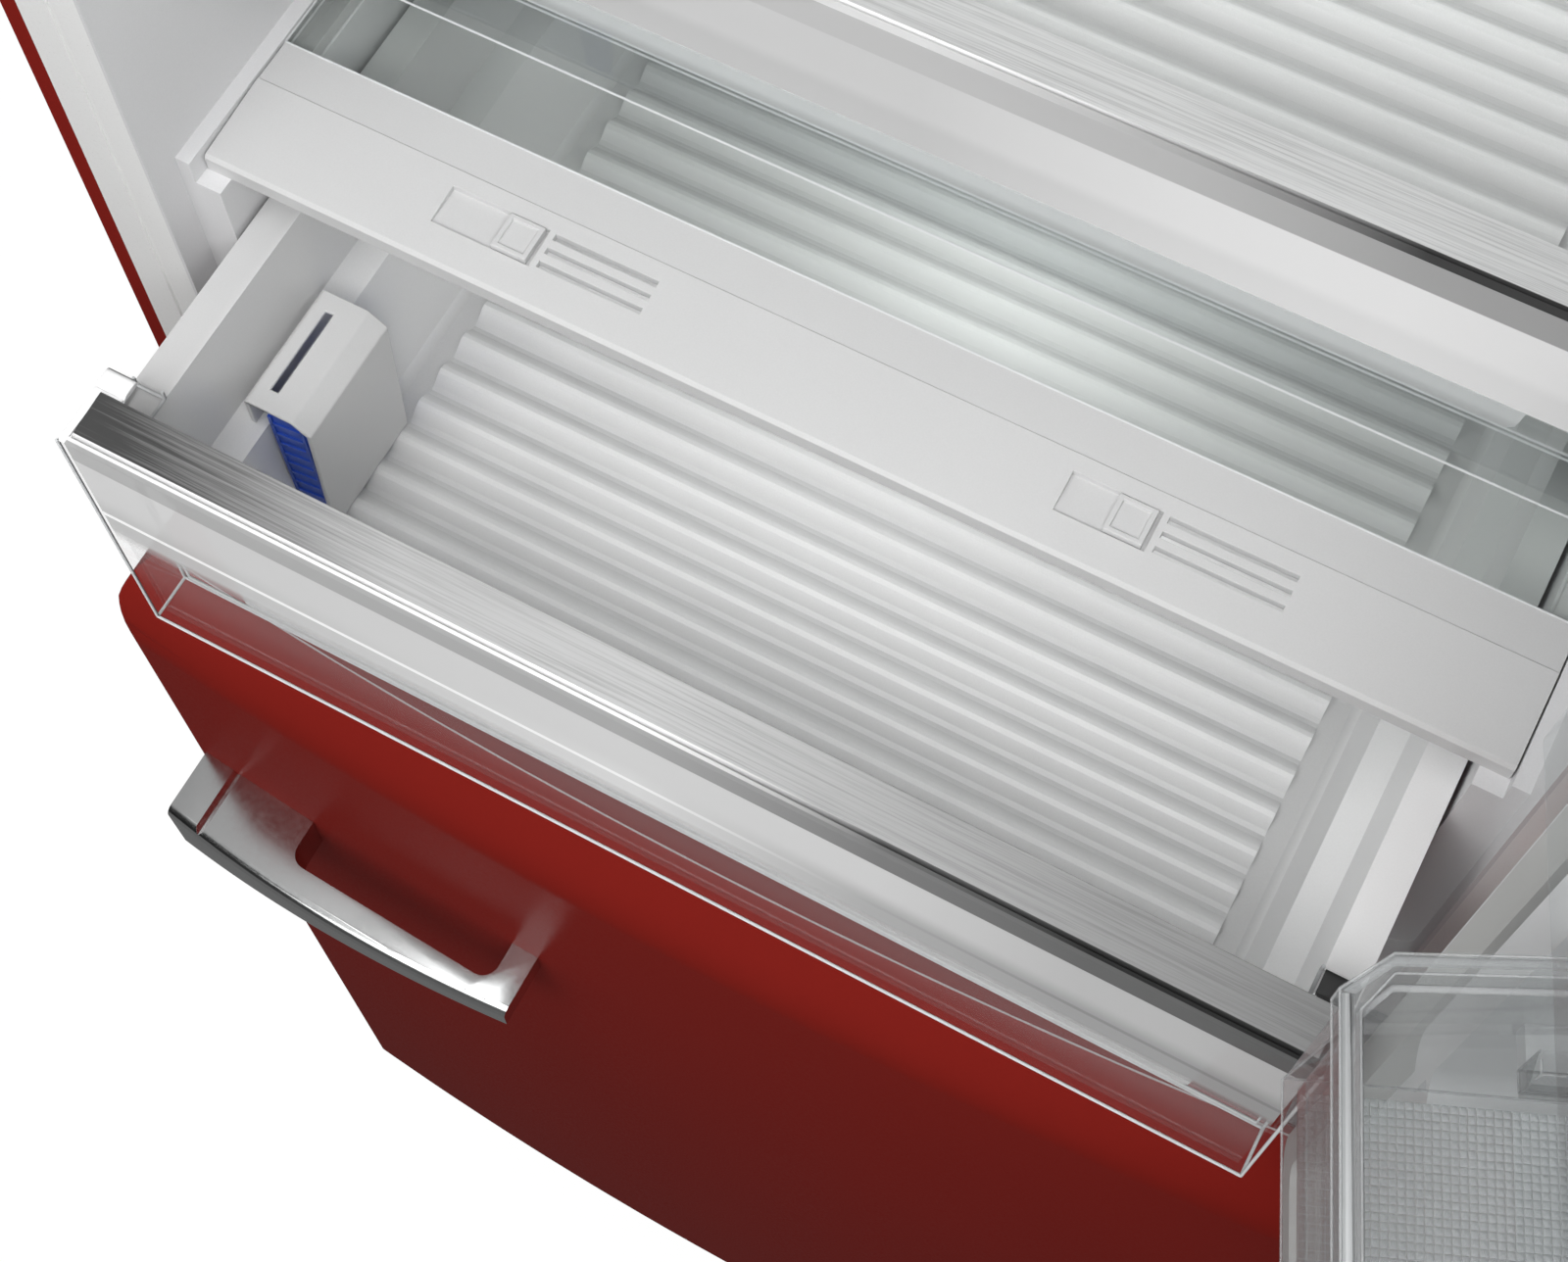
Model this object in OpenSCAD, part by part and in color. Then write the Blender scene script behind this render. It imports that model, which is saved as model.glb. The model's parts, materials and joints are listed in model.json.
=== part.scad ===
// Retro fridge freezer of the 60 cm class, with the fridge above and the freezer below.
// Millimetres: X is the width, Y runs from front to back and Z is up.
// The origin is the middle of the base plate's underside.
// Pieces are drawn with Y counted from the cabinet's front plane, and in_place() moves them.
// The rest pose has the fridge door open, the crisper drawn out and the freezer door shut.

/* [Cabinet] */
// Width of the cabinet
cab_w = 601; // [595:1:640]
// Height of the cabinet above the base plate's underside
cab_h = 1928; // [1900:1:2050]
// Depth of the cabinet without its doors
cab_d = 590; // [580:1:650]
// Corner radius of the cabinet's top
cab_r = 16; // [8:1:24]
// Thickness of the outer steel sheet
sheet_t = 1.2; // [0.8:0.1:2]
// Width of the folded red edge round the front
edge_w = 7.8; // [5:0.1:12]
// Thickness of the insulated side walls
wall_side = 37; // [34:0.5:40]
// Thickness of the insulated top
wall_top = 52; // [40:1:60]
// Thickness of the insulated back
wall_back = 58; // [50:1:70]
// Depth of the plastic front frame
frame_t = 12; // [8:1:16]
// Distance of the frame's groove from the cabinet's side
groove_in = 23.6; // [15:0.1:27]
// Width of the frame's groove
groove_w = 1.6; // [1:0.1:3]
// Thickness of the inner liners
liner_t = 1.5; // [1:0.1:2.5]
// Corner radius of the inner liners
liner_r = 14; // [8:1:20]
// Thickness of the base plate
base_t = 2; // [1.5:0.1:3]

/* [Levels] */
// Middle of the gap between the two doors
split_z = 840; // [820:1:860]
// Height of the fridge compartment's floor above the split
floor_up = 48; // [40:1:60]
// Distance of the freezer's ceiling below the split
ceiling_down = 50; // [40:1:60]
// Height of the freezer's floor
freezer_floor = 62; // [55:1:75]
// Height of the step over the machine bay in the freezer
step_z = 240; // [230:1:260]
// Insulation between the freezer's lower part and the machine bay
bay_wall = 23; // [15:1:40]
// Thickness of the insulated back behind the freezer
freezer_wall_back = 90; // [75:1:110]
// Height of the machine bay
bay_h = 220; // [200:1:226]
// Depth of the machine bay
bay_d = 195; // [170:1:200]

/* [Doors] */
// Gap between the two doors
door_gap = 10; // [8:0.5:16]
// Height of the freezer door's lower edge
door_low = 20; // [16:1:30]
// Distance of the fridge door's top below the cabinet's top
door_top_in = 6; // [4:1:12]
// Reach of the door's middle in front of the cabinet
bulge = 99.8; // [90:0.1:110]
// Radius of the bowed front
bow_r = 2805; // [2000:5:4000]
// Radius of the soft top edge
roll_top = 50; // [30:1:60]
// Radius of the soft lower edge
roll_low = 30; // [20:1:50]
// Corner radius seen from the front
corner_r = 28; // [20:1:34]
// Radius of the upright front edges
side_r = 12; // [6:1:20]
// Gap between the door's back and the cabinet
seal_gap = 12; // [10:0.5:16]
// Thickness of the door's inner panel
panel_t = 2; // [1.5:0.1:3]
// How far the fridge door stands open at rest, in degrees
door_open = 113; // [0:1:120]
// Hinge axis, measured in from the cabinet's side
hinge_in = 10.5; // [10:0.1:14]
// Hinge axis, measured out from the cabinet's front
hinge_out = 44; // [40:0.5:50]
// Radius of the hinge pins
pin_r = 5; // [4:0.1:6]
// Running clearance round a pin, on the radius
pin_clear = 0.08; // [0.02:0.01:0.1]
// Width of a seal band
seal_w = 13; // [9:0.5:14]

/* [Handles] */
// Left end of a handle, measured in from the door's edge
handle_in = 12; // [12:0.5:30]
// Length of a handle
handle_len = 202; // [170:1:230]
// Width of the handle's broad block
block_w = 68; // [55:1:85]
// Width of the handle's slim leg
leg_w = 14.5; // [12:0.5:24]
// Reach of the handle's arc in front of the door's middle
handle_out = 34; // [30:0.5:42]
// Height of the handle at its leg
handle_h = 16; // [13:0.5:24]
// Radius of the handle's two arcs, seen from above and from the front
handle_r = 760; // [700:10:1200]
// Depth of the grip at the block
grip_t0 = 17; // [14:0.5:20]
// Depth of the grip at the leg
grip_t1 = 12; // [10:0.5:14]
// Radius in the corners of the finger gap
gap_r = 8.5; // [5:0.5:10]
// Distance of the handle's near face from the door's edge
handle_down = 182; // [120:1:260]

/* [Crisper] */
// How far the crisper is drawn out at rest
crisper_out = 119; // [0:1:119]
// Front of the shut crisper behind the cabinet's front
crisper_front_y = 21; // [18:0.5:26]
// Depth of the clear front
front_depth = 20; // [16:0.5:24]
// Gap between the clear front and the ledges
front_side_gap = 4.5; // [3:0.5:8]
// Wall of the clear front
front_t = 3; // [2:0.1:4]
// Height of the tub's rim above the compartment's floor
rim_up = 132; // [110:1:138]
// Gap under the tub
tub_clear = 8; // [4:0.5:10]
// Gap between the tub's rim and the ledges
tub_side_gap = 1.9; // [1:0.1:3]
// Height of the trim above the tub's rim
trim_up = 25.6; // [18:0.2:25.8]
// Width of the corner blocks behind the trim
ear_w = 12.5; // [8:0.5:16]
// Length of the tub
tub_len = 400; // [340:1:420]
// Wall of the tub
tub_t = 2.5; // [2:0.1:4]
// Distance from rib to rib in the base
rib_pitch = 17.7; // [14:0.1:24]
// Height of the ribs
rib_h = 5; // [3:0.5:7]
// Distance of the ribs' ends from the tub's rim
rib_in = 48; // [46:1:80]
// Reach of the ledges from the liner's wall
ledge_w = 17; // [14:0.5:20]
// Front of the ledges
ledge_y = 14; // [12:0.5:18]

/* [Cover plate] */
// Height of the cover plate's front edge above the tub's rim
cover_up = 35.5; // [34:0.5:40]
// Front edge of the cover plate
cover_y0 = 21.3; // [20:0.1:24]
// Crease in the cover plate
cover_y1 = 58.6; // [54:0.1:64]
// Back edge of the cover plate
cover_y2 = 77.4; // [72:0.1:84]
// Height of the plate's lip
cover_lip = 8.2; // [6:0.1:8.4]
// Thickness of the plate
cover_t = 3.2; // [2:0.1:4]
// Gap between the plate and the liner's wall
cover_side_gap = 6.8; // [6:0.1:9]
// Distance of the left vent from the plate's left end
vent_left = 89; // [60:1:100]
// Distance of the right vent's left end from the plate's right end
vent_right = 173; // [150:1:190]
// Place of each slider in its recess at rest
slider_at = [25, 18];
// Start of each vent's slots
slots_from = [43.5, 36.5];
// End of each vent's slots
slots_to = [86, 84];
// Width of a humidity slider
slider_w = 14.4; // [10:0.2:16]
// Depth of a vent
vent_d = 16; // [12:0.2:18]
// Width of one slot
slot_w = 2.6; // [1.5:0.1:3.5]
// Depth of the sliders' recess
recess = 1.4; // [0.8:0.1:2]

/* [Chill drawer] */
// Front of the chill drawer
chill_y = 108; // [96:1:120]
// Underside of the chill drawer's front above the crisper's rim
chill_up = 48; // [44:1:60]
// Height of the chill drawer's front
chill_h = 102; // [80:1:110]
// Length of the chill drawer's tub
chill_len = 330; // [280:1:350]

/* [Shelves] */
// Height of the lowest glass shelf above the chill drawer's runners
shelf_up = 167.3; // [150:0.1:190]
// Place of each glass shelf between the lowest one and the ceiling
shelf_share = [0, 0.31636, 0.64364];
// Thickness of the glass
glass_t = 4; // [3:0.5:5]
// Front of the shelves
shelf_y0 = 112; // [106:1:130]
// Air gap behind the shelves
shelf_back_gap = 30.5; // [28:0.5:60]

/* [Door bins] */
// Rim of each bin and floor of the dairy box, as shares of the pocket's height
bin_share = [0.21622, 0.51351, 0.72973];
// Height of the lower bin
bin_h = 77; // [60:1:90]
// Gap between a bin's free face and the dike
bin_side_gap = 11; // [10:0.5:30]
// Free face of a bin behind the cabinet's front
bin_y = 65; // [50:1:68]
// Height of the middle bin
bin2_h = 68; // [55:1:80]
// Wall of a bin
bin_t = 3; // [2:0.1:4]
// Height of the dairy box
dairy_h = 80; // [70:1:90]
// Depth of the pocket between the dikes
pocket_y = 46; // [40:1:50]

/* [Underside] */
// Height of the feet and rollers
foot_h = 25; // [20:1:40]
// Distance of feet and rollers from the cabinet's side
foot_in = 50; // [40:1:80]
// Radius of a foot
foot_r = 19; // [15:1:24]
// Radius of a roller
roller_r = 17; // [14:0.5:18]
// Width of a roller
roller_w = 14; // [10:1:20]

/* [Hidden] */

half_w = cab_w / 2;
cavity_half = half_w - wall_side;
inner_half = cavity_half - liner_t;
fridge_low = split_z + floor_up - liner_t;
fridge_floor = split_z + floor_up;
fridge_high = cab_h - wall_top;
fridge_depth = cab_d - wall_back;
fridge_back = fridge_depth - liner_t;
freezer_high = split_z - ceiling_down;
freezer_depth = cab_d - freezer_wall_back;
freezer_back = freezer_depth - liner_t;
bay_y = cab_d - bay_d;
step_depth = bay_y - bay_wall;
rim_z = fridge_floor + rim_up;
ledge_half = inner_half - ledge_w;
rim_half = ledge_half - tub_side_gap;
front_half = ledge_half - front_side_gap;
rib_half = rim_half - rib_in;
cover_z = rim_z + cover_up;
ledge_top = cover_z - cover_lip;
cover_half = inner_half - cover_side_gap;
cover_crown = 2.7;
recess_gap = 0.3;
hinge_x = half_w - hinge_in;
hinge_y = -hinge_out;
freezer_door_top = split_z - door_gap / 2;
fridge_door_low = split_z + door_gap / 2;
fridge_door_top = cab_h - door_top_in;
seal_half = hinge_x - 6;
dike_half = inner_half - 10;
dike_w = 14;
dike_y = 12;
dike_low = rim_z + 100;
dike_high = fridge_high - 16;
touch = 0.3;
lap = 0.05;
pin_deep = 14;
bracket_t = 3;
runner_half = ledge_half + 1;
runner_z = rim_z + chill_up + chill_h - 11.3;
shelf_low = runner_z + shelf_up;
shelf_z = [for (k = shelf_share) shelf_low + k * (fridge_high - shelf_low)];
shelf_y1 = fridge_back - shelf_back_gap;
vent_x = [vent_left - cover_half, cover_half - vent_right];
bin_level = [for (k = bin_share) dike_low + k * (dike_high - dike_low)];
bin_rim = bin_level[0];
bin2_rim = bin_level[1];
dairy_z = bin_level[2];
bin_half = dike_half - dike_w - bin_side_gap;
fan_z = 690;
fan_r = 46;
cover_wall_y = freezer_depth - 60;
bore_play = 0.4;
fine = 720;
smooth = 64;

function face_y(x) = -bulge + bow_r - sqrt(bow_r * bow_r - x * x);

// Moves a piece from front-plane coordinates into the part's own frame.
module in_place() translate([0, -cab_d / 2, 0]) children();

// Swings a piece with the fridge door to its open rest pose.
module on_fridge_door()
    in_place() translate([hinge_x, hinge_y, 0]) rotate([0, 0, door_open])
        translate([-hinge_x, -hinge_y, 0]) children();

// Draws the crisper out to its rest pose.
module on_crisper() in_place() translate([0, crisper_front_y - crisper_out, 0]) children();

// Block between two corners.
module slab(a, b) translate(a) cube(b - a);

// Front elevation, drawn as X and Z, made solid from y0 to y1.
module deep(y0, y1)
    translate([0, y1, 0]) rotate([90, 0, 0]) linear_extrude(height = y1 - y0) children();

// Side view, drawn as Y and Z, made solid from x0 to x1.
module wide(x0, x1)
    translate([x0, 0, 0]) rotate([90, 0, 90]) linear_extrude(height = x1 - x0) children();

// Rectangle with round corners.
module soft_rect(x0, y0, x1, y1, r) {
    translate([x0 + r, y0]) square([x1 - x0 - 2 * r, y1 - y0]);
    translate([x0, y0 + r]) square([x1 - x0, y1 - y0 - 2 * r]);
    for (x = [x0 + r, x1 - r], y = [y0 + r, y1 - r])
        translate([x, y]) circle(r, $fn = smooth);
}

// Rectangle that is round at its top only, for the cabinet.
module arch(inset, low) {
    translate([inset - half_w, low]) square([cab_w - 2 * inset, cab_h - cab_r - low]);
    soft_rect(inset - half_w, cab_h - 3 * cab_r, half_w - inset, cab_h - inset, cab_r - inset);
}

// Shape of a compartment, grown outwards for the hole that it fills.
module fridge_space(grow)
    soft_rect(-inner_half - grow, fridge_floor - grow, inner_half + grow,
        fridge_high - liner_t + grow, liner_r - liner_t + grow);

module freezer_space(grow, low)
    soft_rect(-inner_half - grow, low + liner_t - grow, inner_half + grow,
        freezer_high - liner_t + grow, liner_r - liner_t + grow);

module cabinet_shell() color("#7c1d1a") in_place() difference() {
    deep(0, cab_d - sheet_t) arch(0, base_t);
    deep(sheet_t, cab_d) arch(sheet_t, -1);
    deep(-1, sheet_t + 1) arch(edge_w, -1);
}

module foam_core() color("#e3d9a8") in_place() difference() {
    deep(frame_t, cab_d - sheet_t) arch(sheet_t, base_t);
    deep(-1, fridge_depth) fridge_space(liner_t);
    deep(-1, freezer_depth) freezer_space(liner_t, step_z);
    deep(-1, step_depth) freezer_space(liner_t, freezer_floor);
    slab([-cab_w, bay_y, -1], [cab_w, cab_d, bay_h]);
    foot_nuts(0);
}

module front_frame() color("#e9e9e8") in_place() difference() {
    union() {
        deep(sheet_t, frame_t) arch(sheet_t, base_t);
        deep(0, sheet_t) arch(edge_w, base_t);
    }
    deep(-1, cab_d) fridge_space(liner_t);
    deep(-1, cab_d) freezer_space(liner_t, freezer_floor);
    for (x = [groove_in - half_w, half_w - groove_in])
        slab([x - groove_w / 2, -1, base_t + 20], [x + groove_w / 2, 1.2, cab_h - 30]);
}

// Ledge that carries the cover plate, with the strip that locates it, and the drawer's runner.
module side_ledge() {
    wall = inner_half + liner_t / 2;
    slab([ledge_half, ledge_y, fridge_floor - liner_t / 2], [wall, fridge_back + 1, ledge_top]);
    slab([cover_half + 0.6, ledge_y, ledge_top - 1], [wall, fridge_back + 1, cover_z + 3.4]);
    slab([runner_half, 70, runner_z - 6], [wall, fridge_back + 1, runner_z]);
    for (z = shelf_z)
        slab([inner_half - 8, shelf_y0 + 4, z - 8], [wall, fridge_back + 1, z]);
}

module fridge_liner() color("#d9d9da") in_place() {
    difference() {
        deep(0, fridge_depth) fridge_space(liner_t);
        deep(-1, fridge_back) fridge_space(0);
    }
    intersection() {
        union() {
            side_ledge();
            mirror([1, 0, 0]) side_ledge();
        }
        deep(0, fridge_depth) fridge_space(liner_t / 2);
    }
}

module freezer_liner() color("#d9d9da") in_place() {
    wall = inner_half + liner_t / 2;
    difference() {
        union() {
            deep(0, freezer_depth) freezer_space(liner_t, step_z);
            deep(0, step_depth) freezer_space(liner_t, freezer_floor);
        }
        deep(-1, freezer_back) freezer_space(0, step_z);
        deep(-1, step_depth - liner_t) freezer_space(0, freezer_floor);
    }
    for (s = [0, 1], z = freezer_shelf_z) mirror([s, 0, 0])
        slab([inner_half - 8, 34, z - 8], [wall, cover_wall_y - 2, z]);
    for (s = [0, 1]) mirror([s, 0, 0])
        slab([inner_half - 6, cover_wall_y + 6, step_z + 20],
            [wall, cover_wall_y + 10, freezer_high - 20]);
}

module back_panel() color("#8f9296") in_place() intersection() {
    deep(cab_d - sheet_t, cab_d) arch(0, base_t);
    slab([-cab_w, 0, bay_h], [cab_w, cab_d + 1, cab_h + 1]);
}

module base_plate() color("#8f9296") in_place() difference() {
    union() {
        slab([-half_w, 0, 0], [half_w, cab_d, base_t]);
        foot_nuts(1);
    }
    for (s = [-1, 1]) translate([s * (half_w - foot_in), foot_y, -1])
        cylinder(r = foot_rod_r + 0.1, h = 20, $fn = smooth);
    for (x = [-150, 150], y = [bay_y + 40, bay_y + 130])
        slab([x - 45, y - 5, -1], [x + 45, y + 5, base_t + 1]);
    for (s = [-1, 1]) translate([s * (half_w - foot_in), cab_d - 60, 0])
        slab([-roller_w / 2 - 4.5, -roller_r - 2, -1], [roller_w / 2 + 4.5, roller_r + 2, base_t + 1]);
}

// Weld nuts of the front feet on the base plate; the foam has the same hollows.
foot_y = 42;
foot_rod_r = 6;
module foot_nuts(grow) for (s = [-1, 1]) translate([s * (half_w - foot_in), foot_y, base_t - grow])
    cylinder(r = 11, h = 9 + grow, $fn = 6);

// Bracket with pins that reach up and down from its plate.
module hinge_bracket(z, up, down) {
    slab([hinge_x - 40, -hinge_out - 12, z], [hinge_x + 7.5, -bracket_t, z + bracket_t]);
    if (up > 0) translate([hinge_x, hinge_y, z]) cylinder(r = pin_r, h = up + bracket_t, $fn = smooth);
    if (down > 0) translate([hinge_x, hinge_y, z - down])
        cylinder(r = pin_r, h = down + bracket_t, $fn = smooth);
}

module top_hinge() color("#b9bbbe") in_place() difference() {
    union() {
        hinge_bracket(cab_h, 0, door_top_in + pin_deep - 1);
        slab([hinge_x - 40, -bracket_t, cab_h], [hinge_x - 2, 70, cab_h + bracket_t]);
    }
    for (y = [20, 50]) translate([hinge_x - 22, y, cab_h - 1]) cylinder(r = 3, h = 9, $fn = 32);
}

module middle_hinge() color("#b9bbbe") in_place() {
    hinge_bracket(split_z - bracket_t / 2, pin_deep + 2, pin_deep + 2);
    slab([hinge_x - 60, -bracket_t, split_z - 8], [hinge_x + 1, 0, split_z + 8]);
}

module bottom_hinge() color("#b9bbbe") in_place() {
    hinge_bracket(door_low - 9, pin_deep + 5, 0);
    slab([hinge_x - 60, -bracket_t, base_t], [hinge_x + 1, 0, door_low - 2]);
}

module hinge_cover() color("#701a18") in_place() difference() {
    slab([hinge_x - 46, -hinge_out - 16, cab_h + touch], [half_w - 0.8, 78, cab_h + 15]);
    slab([hinge_x - 43, -hinge_out - 13, cab_h], [half_w - 2.4, 75, cab_h + 12]);
}

module front_feet() color("#3a3b3d") in_place() for (s = [-1, 1])
    translate([s * (half_w - foot_in), foot_y, -foot_h]) {
        cylinder(r1 = foot_r, r2 = foot_r - 3, h = 10, $fn = smooth);
        translate([0, 0, 10]) cylinder(r = foot_rod_r, h = foot_h + base_t - 1, $fn = smooth);
    }

// Fork that holds one rear roller on its pin, hung through the base plate by its two feet.
module roller_bracket(x) translate([x, cab_d - 60, 0]) {
    for (s = [0, 1]) mirror([s, 0, 0]) {
        slab([roller_w / 2 + 1, -16, -foot_h + 5], [roller_w / 2 + 4, 16, base_t + 2.5]);
        slab([roller_w / 2 + 1, -16, base_t], [roller_w / 2 + 18, 16, base_t + 2.5]);
    }
    translate([-roller_w / 2 - 6, 0, roller_r - foot_h]) rotate([0, 90, 0])
        cylinder(r = 4, h = roller_w + 12, $fn = smooth);
}

module roller_brackets() color("#8f9296") in_place()
    for (s = [-1, 1]) roller_bracket(s * (half_w - foot_in));

module roller(x) translate([x - roller_w / 2, cab_d - 60, roller_r - foot_h])
    rotate([0, 90, 0]) difference() {
        cylinder(r = roller_r, h = roller_w, $fn = smooth);
        translate([0, 0, -1]) cylinder(r = 4 + pin_clear, h = roller_w + 2, $fn = smooth);
        for (z = [-1, roller_w - 2]) translate([0, 0, z]) difference() {
            cylinder(r = roller_r - 4, h = 3, $fn = smooth);
            cylinder(r = 8, h = 3, $fn = smooth);
        }
    }

module roller_left() color("#3a3b3d") in_place() roller(foot_in - half_w);
module roller_right() color("#3a3b3d") in_place() roller(half_w - foot_in);

// Machine bay
comp = [-70, cab_d - 100, 0];
stub_z = base_t + 158;
mount_h = 12;
module compressor() color("#1e1f21") in_place() translate(comp) {
    translate([0, 0, base_t + mount_h]) {
        for (s = [-1, 1]) slab([-88, s * 48 - 12, 0], [88, s * 48 + 12, 3]);
        slab([-60, -50, 3], [60, 50, 6]);
    }
    for (x = [-20, 20]) translate([x, 0, base_t + 146]) cylinder(r = 6, h = 12, $fn = smooth);
    translate([0, 0, base_t + mount_h + 5]) rotate_extrude($fn = 96) polygon([[0, 0], [58, 0],
        [72, 12], [74, 60], [78, 62], [78, 66], [74, 68], [72, 100], [60, 122], [36, 134], [0, 138]]);
}

module compressor_mounts() color("#2a2a2b") in_place() translate(comp)
    for (x = [-76, 76], y = [-48, 48]) translate([x, y, base_t])
        cylinder(r = 9, h = mount_h, $fn = smooth);

module terminal_box() color("#d8d8d6") in_place()
    slab([comp[0] + 78.5, comp[1] - 26, base_t + 34], [comp[0] + 108, comp[1] + 26, base_t + 92]);

// Suction and discharge tubes, each a few straight lengths with round elbows.
module tube_run(r, pts) for (i = [0 : len(pts) - 2]) {
    d = pts[i + 1] - pts[i];
    n = norm(d);
    translate(pts[i]) rotate([0, acos(d[2] / n), atan2(d[1], d[0])])
        cylinder(r = r, h = n, $fn = 24);
    if (i > 0) translate(pts[i]) sphere(r = r, $fn = 24);
}

module refrigerant_pipes() color("#b8764a") in_place() {
    tube_run(4, [[comp[0] - 20, comp[1], stub_z], [comp[0] - 20, comp[1], 190],
        [comp[0] - 150, comp[1], 190], [comp[0] - 150, comp[1] + 40, 190],
        [comp[0] - 150, comp[1] + 40, bay_h]]);
    tube_run(3, [[comp[0] + 20, comp[1], stub_z], [comp[0] + 20, comp[1], 180],
        [comp[0] + 20, comp[1] + 60, 180], [comp[0] + 20, comp[1] + 60, bay_h]]);
    translate([comp[0] + 20, comp[1] + 60, 184]) cylinder(r = 8, h = 30, $fn = 32);
}

module drip_tray() color("#cfd0cf") in_place() translate([half_w - 160.5, cab_d - 120, bay_h - 60])
    difference() {
    union() {
        slab([0, 0, 0], [120, 90, 40]);
        for (x = [0, 117.5]) slab([x, 20, 39], [x + 2.5, 70, 60 - touch]);
    }
    slab([2.5, 2.5, 2.5], [117.5, 87.5, 41]);
}

// Clamp that the mains lead runs through, on the base plate's rear edge.
module cord_clamp() color("#2a2a2b") in_place() translate([95.5 - half_w, cab_d - 22, base_t])
    difference() {
        slab([-14, 0, 0], [14, 14, 20]);
        translate([0, -1, 10]) rotate([-90, 0, 0]) cylinder(r = 5, h = 16, $fn = smooth);
    }

// Evaporator: a stack of plain fins on three tubes.
module evaporator() color("#c4c8cc") in_place() {
    z0 = step_z + 60;
    coil_half = inner_half - 22;
    for (x = [60 - inner_half - 2 : 20 : inner_half - 62])
        slab([x, cover_wall_y + 14, z0], [x + 1, freezer_back - 6, z0 + 300]);
    for (z = [z0 + 40, z0 + 150, z0 + 260]) translate([-coil_half, cover_wall_y + 32, z])
        rotate([0, 90, 0]) cylinder(r = 4.5, h = 2 * coil_half, $fn = 32);
    for (x = [-coil_half, coil_half - 4])
        slab([x, cover_wall_y + 10, z0 + 20], [x + 4, freezer_back, z0 + 280]);
}

module evaporator_cover() color("#e6e6e5") in_place() difference() {
    deep(cover_wall_y, cover_wall_y + 4)
        soft_rect(-inner_half + touch, step_z + 14, inner_half - touch, freezer_high - 6, 10);
    translate([0, cover_wall_y - 1, fan_z]) rotate([-90, 0, 0])
        cylinder(r = fan_r + 4, h = 9, $fn = smooth);
    for (x = [62 - inner_half : 36 : inner_half - 82])
        slab([x, cover_wall_y - 1, step_z + 30], [x + 20, cover_wall_y + 6, step_z + 36]);
}

module fan_motor() color("#2f3032") in_place() translate([0, cover_wall_y + 4, fan_z]) {
    rotate([-90, 0, 0]) difference() {
        union() {
            cylinder(r = 62, h = 3, $fn = smooth);
            translate([0, 0, 3]) cylinder(r = 18, h = 20, $fn = smooth);
        }
        for (a = [0 : 120 : 240]) rotate([0, 0, a]) translate([0, 0, -1]) difference() {
            translate([0, 0, 0]) rotate_extrude(angle = 100, $fn = smooth)
                translate([22, 0]) square([28, 6]);
        }
    }
    rotate([90, 0, 0]) cylinder(r = 3, h = 14, $fn = smooth);
}

module fan_rotor() color("#3f4144") in_place() translate([0, cover_wall_y, fan_z])
    rotate([90, 0, 0]) difference() {
        union() {
            translate([0, 0, -2]) cylinder(r = 14, h = 12, $fn = smooth);
            for (a = [0 : 60 : 300]) rotate([0, 0, a]) translate([12, 0, 4])
                rotate([28, 0, 0]) slab([0, -11, -1], [fan_r - 14, 11, 1]);
        }
        translate([0, 0, -3]) cylinder(r = 3 + pin_clear, h = 14, $fn = smooth);
    }

module duct_panel() color("#e6e6e5") in_place() difference() {
    slab([-88, shelf_y1 + 4, cover_z + 30], [88, fridge_back, fridge_high - 20]);
    slab([-80, shelf_y1 + 8, cover_z + 40], [80, fridge_back + 1, fridge_high - 30]);
    for (z = shelf_z, x = [-70, 20])
        slab([x, shelf_y1, z + 60], [x + 50, shelf_y1 + 12, z + 68]);
}

module ceiling_lamp() color("#f4f3ee") in_place()
    slab([-45, 170, fridge_high - liner_t - 8], [45, 240, fridge_high - liner_t]);

module control_panel() color("#e4e4e3") in_place() difference() {
    slab([-95, 60, fridge_high - liner_t - 26], [95, 150, fridge_high - liner_t]);
    translate([55, 59, fridge_high - 15]) rotate([-90, 0, 0])
        cylinder(r = 3 + pin_clear, h = 14, $fn = smooth);
    slab([-80, 59, fridge_high - 22], [-10, 61, fridge_high - 8]);
}

module temperature_knob() color("#c9cacb") in_place() translate([55, 60, fridge_high - 15])
    rotate([90, 0, 0]) {
        translate([0, 0, 0.3]) cylinder(r = 10, h = 12, $fn = smooth);
        translate([0, 0, -10]) cylinder(r = 3, h = 11, $fn = smooth);
        slab([-1.5, 0, 12], [1.5, 9.5, 14]);
    }

// Cover plate over the crisper: a shallow tray, upside down, with rails that carry the glass.
module vent_cut(i) {
    x0 = vent_x[i];
    y0 = (cover_y0 + cover_y1) / 2 - vent_d / 2 + 4;
    translate([0, 0, cover_z + vent_rise(y0) - recess])
        slab([x0, y0, 0], [x0 + slots_from[i] - 2.6, y0 + vent_d, 5]);
    for (k = [0 : 2]) translate([0, 0, cover_z - 10])
        slab([x0 + slots_from[i], y0 + 1 + k * 6, 0], [x0 + slots_to[i], y0 + 1 + k * 6 + slot_w, 20]);
}

function vent_rise(y) = cover_crown * (y - cover_y0) / (cover_y1 - cover_y0);

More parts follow.
